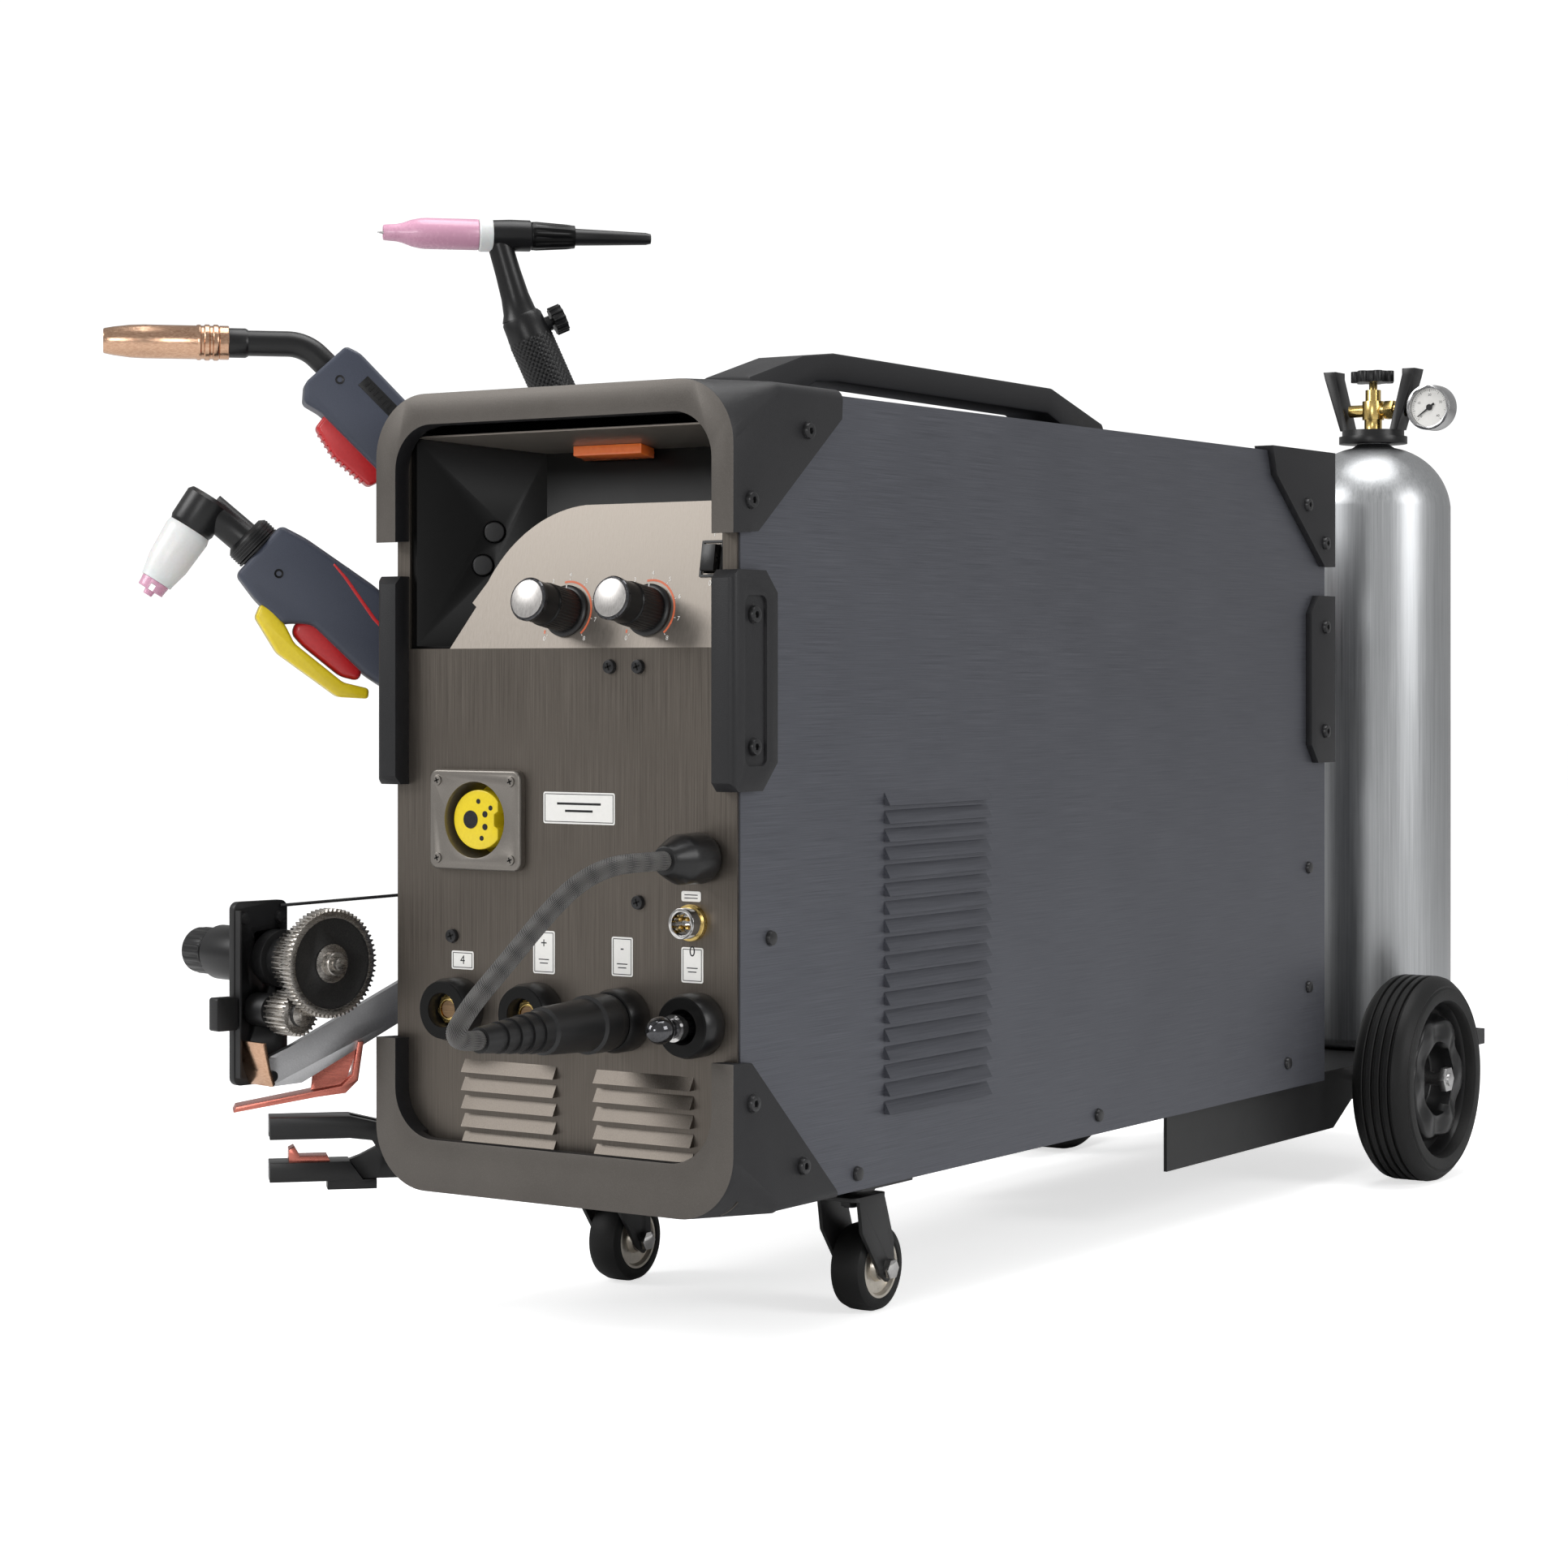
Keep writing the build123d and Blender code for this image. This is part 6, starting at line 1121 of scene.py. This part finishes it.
addPiece("tig_body_shell", joined(headPart, neckPart, gripPart, stubPart, capPart), "mouldedBlack",
         replaces=["tig_body"])
dress("tig_valve_knob", "mouldedBlack", bevel=0.5)


def knurlPlace(along, around):
    # crossed helical grooves leave small diamonds
    oneWay, otherWay = 24 * around + 28 * along, 24 * around - 28 * along
    rise = abs(math.sin(math.pi * oneWay) * math.sin(math.pi * otherWay))
    edge = smooth(0, 0.03, along) * smooth(1, 0.97, along)
    angle = 2 * math.pi * around
    radius = 17.35 + 0.7 * rise * edge
    return (17 + 131 * along, radius * math.cos(angle), radius * math.sin(angle))


knurl = wrapped(224, 192, knurlPlace, tigSeat)
addPiece("tig_knurl", knurl, "mouldedBlack", sharp=70)


def capFlutePlace(along, around):
    angle = 2 * math.pi * around
    radius = 11.3 - 2.2 * along + 0.45 * math.cos(12 * angle) * smooth(0, 0.1, along) * smooth(1, 0.8, along)
    return (radius * math.cos(angle), radius * math.sin(angle), 34 * along)


flutes = wrapped(20, 96, capFlutePlace, aim(torchPoint(tigFoot, 44, 814.5), -out))
addPiece("tig_cap_flutes", flutes, "pianoBlack", sharp=50)
dress("torch_rack", "powderBlack", bevel=0.8)
print("tungsten torch made")

# wire drive: bright gears with dark faces on a black plate
driveOrigin = Vector((-177, -38, 258))
driveWay = Vector((math.cos(math.radians(12)), -math.sin(math.radians(12)), 0))
driveAcross = Vector((math.sin(math.radians(12)), math.cos(math.radians(12)), 0))


def drivePoint(u, v, w):
    return driveOrigin + driveAcross * u + driveWay * w + Vector((0, 0, v))


def onDarkFace(center, innerRadius, outerRadius, above):
    def inside(face):
        for vert in face.verts:
            reach = vert.co / mm - center
            height = reach.dot(driveWay)
            radius = (reach - driveWay * height).length
            if height < above or not innerRadius < radius < outerRadius:
                return False
        return True
    return inside


dress("drive_gear", "gearSteel", bevel=0.15,
      faceRule=("gearFace", onDarkFace(drivePoint(0, 0, 0), 9.4, 36, -3)))
dress("pinion_gear", "gearSteel", bevel=0.15,
      faceRule=("gearFace", onDarkFace(drivePoint(-16.1, -36.2, 0), 4.4, 13, -18)))
dress("wire_drive_frame", [
    ("powderBlack", drivePoint(-17, -24.5, -70)), ("castAlloy", drivePoint(0, 0, -56)),
    ("castAlloy", drivePoint(-16, -36, -59)), ("mouldedBlack", drivePoint(-12, 2, -113)),
], bevel=0.8)
dress("feeder_arm", [
    ("castAlloy", (-195, 40, 215)), ("screwBlack", (-197, 45, 301)), ("shoeRed", (-236, -8, 173)),
    ("nozzleCopper", drivePoint(-26, -74, -55)),
], bevel=0.5)


def motorFlutePlace(along, around):
    angle = 2 * math.pi * around
    radius = 16.7 + 0.55 * math.cos(18 * angle) * smooth(0, 0.12, along) * smooth(1, 0.88, along)
    return (radius * math.cos(angle), radius * math.sin(angle), 50.5 + 21 * along)


flutes = wrapped(16, 108, motorFlutePlace, aim(drivePoint(-12, 2, -76), -driveWay))
addPiece("motor_flutes", flutes, "mouldedBlack", sharp=50)
washers = [
    lathe([(0.2, 4.6), (0.2, 8.4), (1.4, 8.4), (2.0, 7.8), (2.0, 4.6)],
          aim(drivePoint(0, 0, 3.9), driveWay), 48),
    lathe([(0, 10.0), (0, 13.6), (1.2, 13.6), (1.6, 13.0), (1.6, 10.0)],
          aim(drivePoint(0, 0, -2.0), driveWay), 64),
]
addPiece("gear_washers", joined(*washers), "gearSteel", "drive_gear")
print("wire drive made")

dress("earth_clamp_base", [
    ("mouldedBlack", (-205, 28, 107)), ("darkChrome", (-187.8, 40.2, 119)), ("shoeRed", (-231, -3, 114)),
], bevel=1.2)
dress("clamp_jaw", "mouldedBlack", bevel=1.4)
print("earth clamp made")


def byCamera(tree, unseen, seen):
    # one value for what the camera sees directly, another for all other rays
    rays = addNode(tree, "ShaderNodeLightPath")
    level = addNode(tree, "ShaderNodeMapRange", {"To Min": unseen, "To Max": seen})
    tree.links.new(rays.outputs["Is Camera Ray"], level.inputs["Value"])
    return level.outputs["Result"]


# studio: a pale floor, soft lights all round
floor = bpy.data.meshes.new("floor")
floorMesh = bmesh.new()
bmesh.ops.create_grid(floorMesh, x_segments=1, y_segments=1, size=30)
floorMesh.to_mesh(floor)
floorMesh.free()
floorPiece = bpy.data.objects.new("floor", floor)
scene.collection.objects.link(floorPiece)
floorLook = bpy.data.materials.new("paleFloor")
floorLook.use_nodes = True
floorTree = floorLook.node_tree
floorShader = floorTree.nodes["Principled BSDF"]
floorShader.inputs["Base Color"].default_value = (0.86, 0.86, 0.86, 1)
floorShader.inputs["Roughness"].default_value = 0.7
floorShader.inputs["Emission Color"].default_value = (1, 1, 1, 1)
floorTree.links.new(byCamera(floorTree, 0, 0.66), floorShader.inputs["Emission Strength"])
floor.materials.append(floorLook)
floorPiece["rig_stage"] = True

sky = bpy.data.worlds.new("studioSky")
sky.use_nodes = True
skyLight = sky.node_tree.nodes["Background"]
skyLight.inputs["Color"].default_value = (1, 1, 1, 1)
sky.node_tree.links.new(byCamera(sky.node_tree, 0.42, 1.1), skyLight.inputs["Strength"])
scene.world = sky

lightPlan = (
    ("keyLight", (-2.2, -2.2, 2.4), 1.6, 62), ("topLight", (0.2, 0.6, 2.8), 1.8, 42),
    ("sideLight", (3.2, 0.6, 1.6), 1.4, 34), ("frontStrip", (0.9, -2.8, 1.0), 0.8, 16),
)
for name, place, size, power in lightPlan:
    lamp = bpy.data.lights.new(name, "AREA")
    lamp.shape = "SQUARE"
    lamp.size = size
    lamp.energy = power
    light = bpy.data.objects.new(name, lamp)
    scene.collection.objects.link(light)
    light.location = place
    light.rotation_euler = (Vector((0, 0.4, 0.35)) - Vector(place)).to_track_quat("-Z", "Y").to_euler()
print("studio set")

low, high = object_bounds()
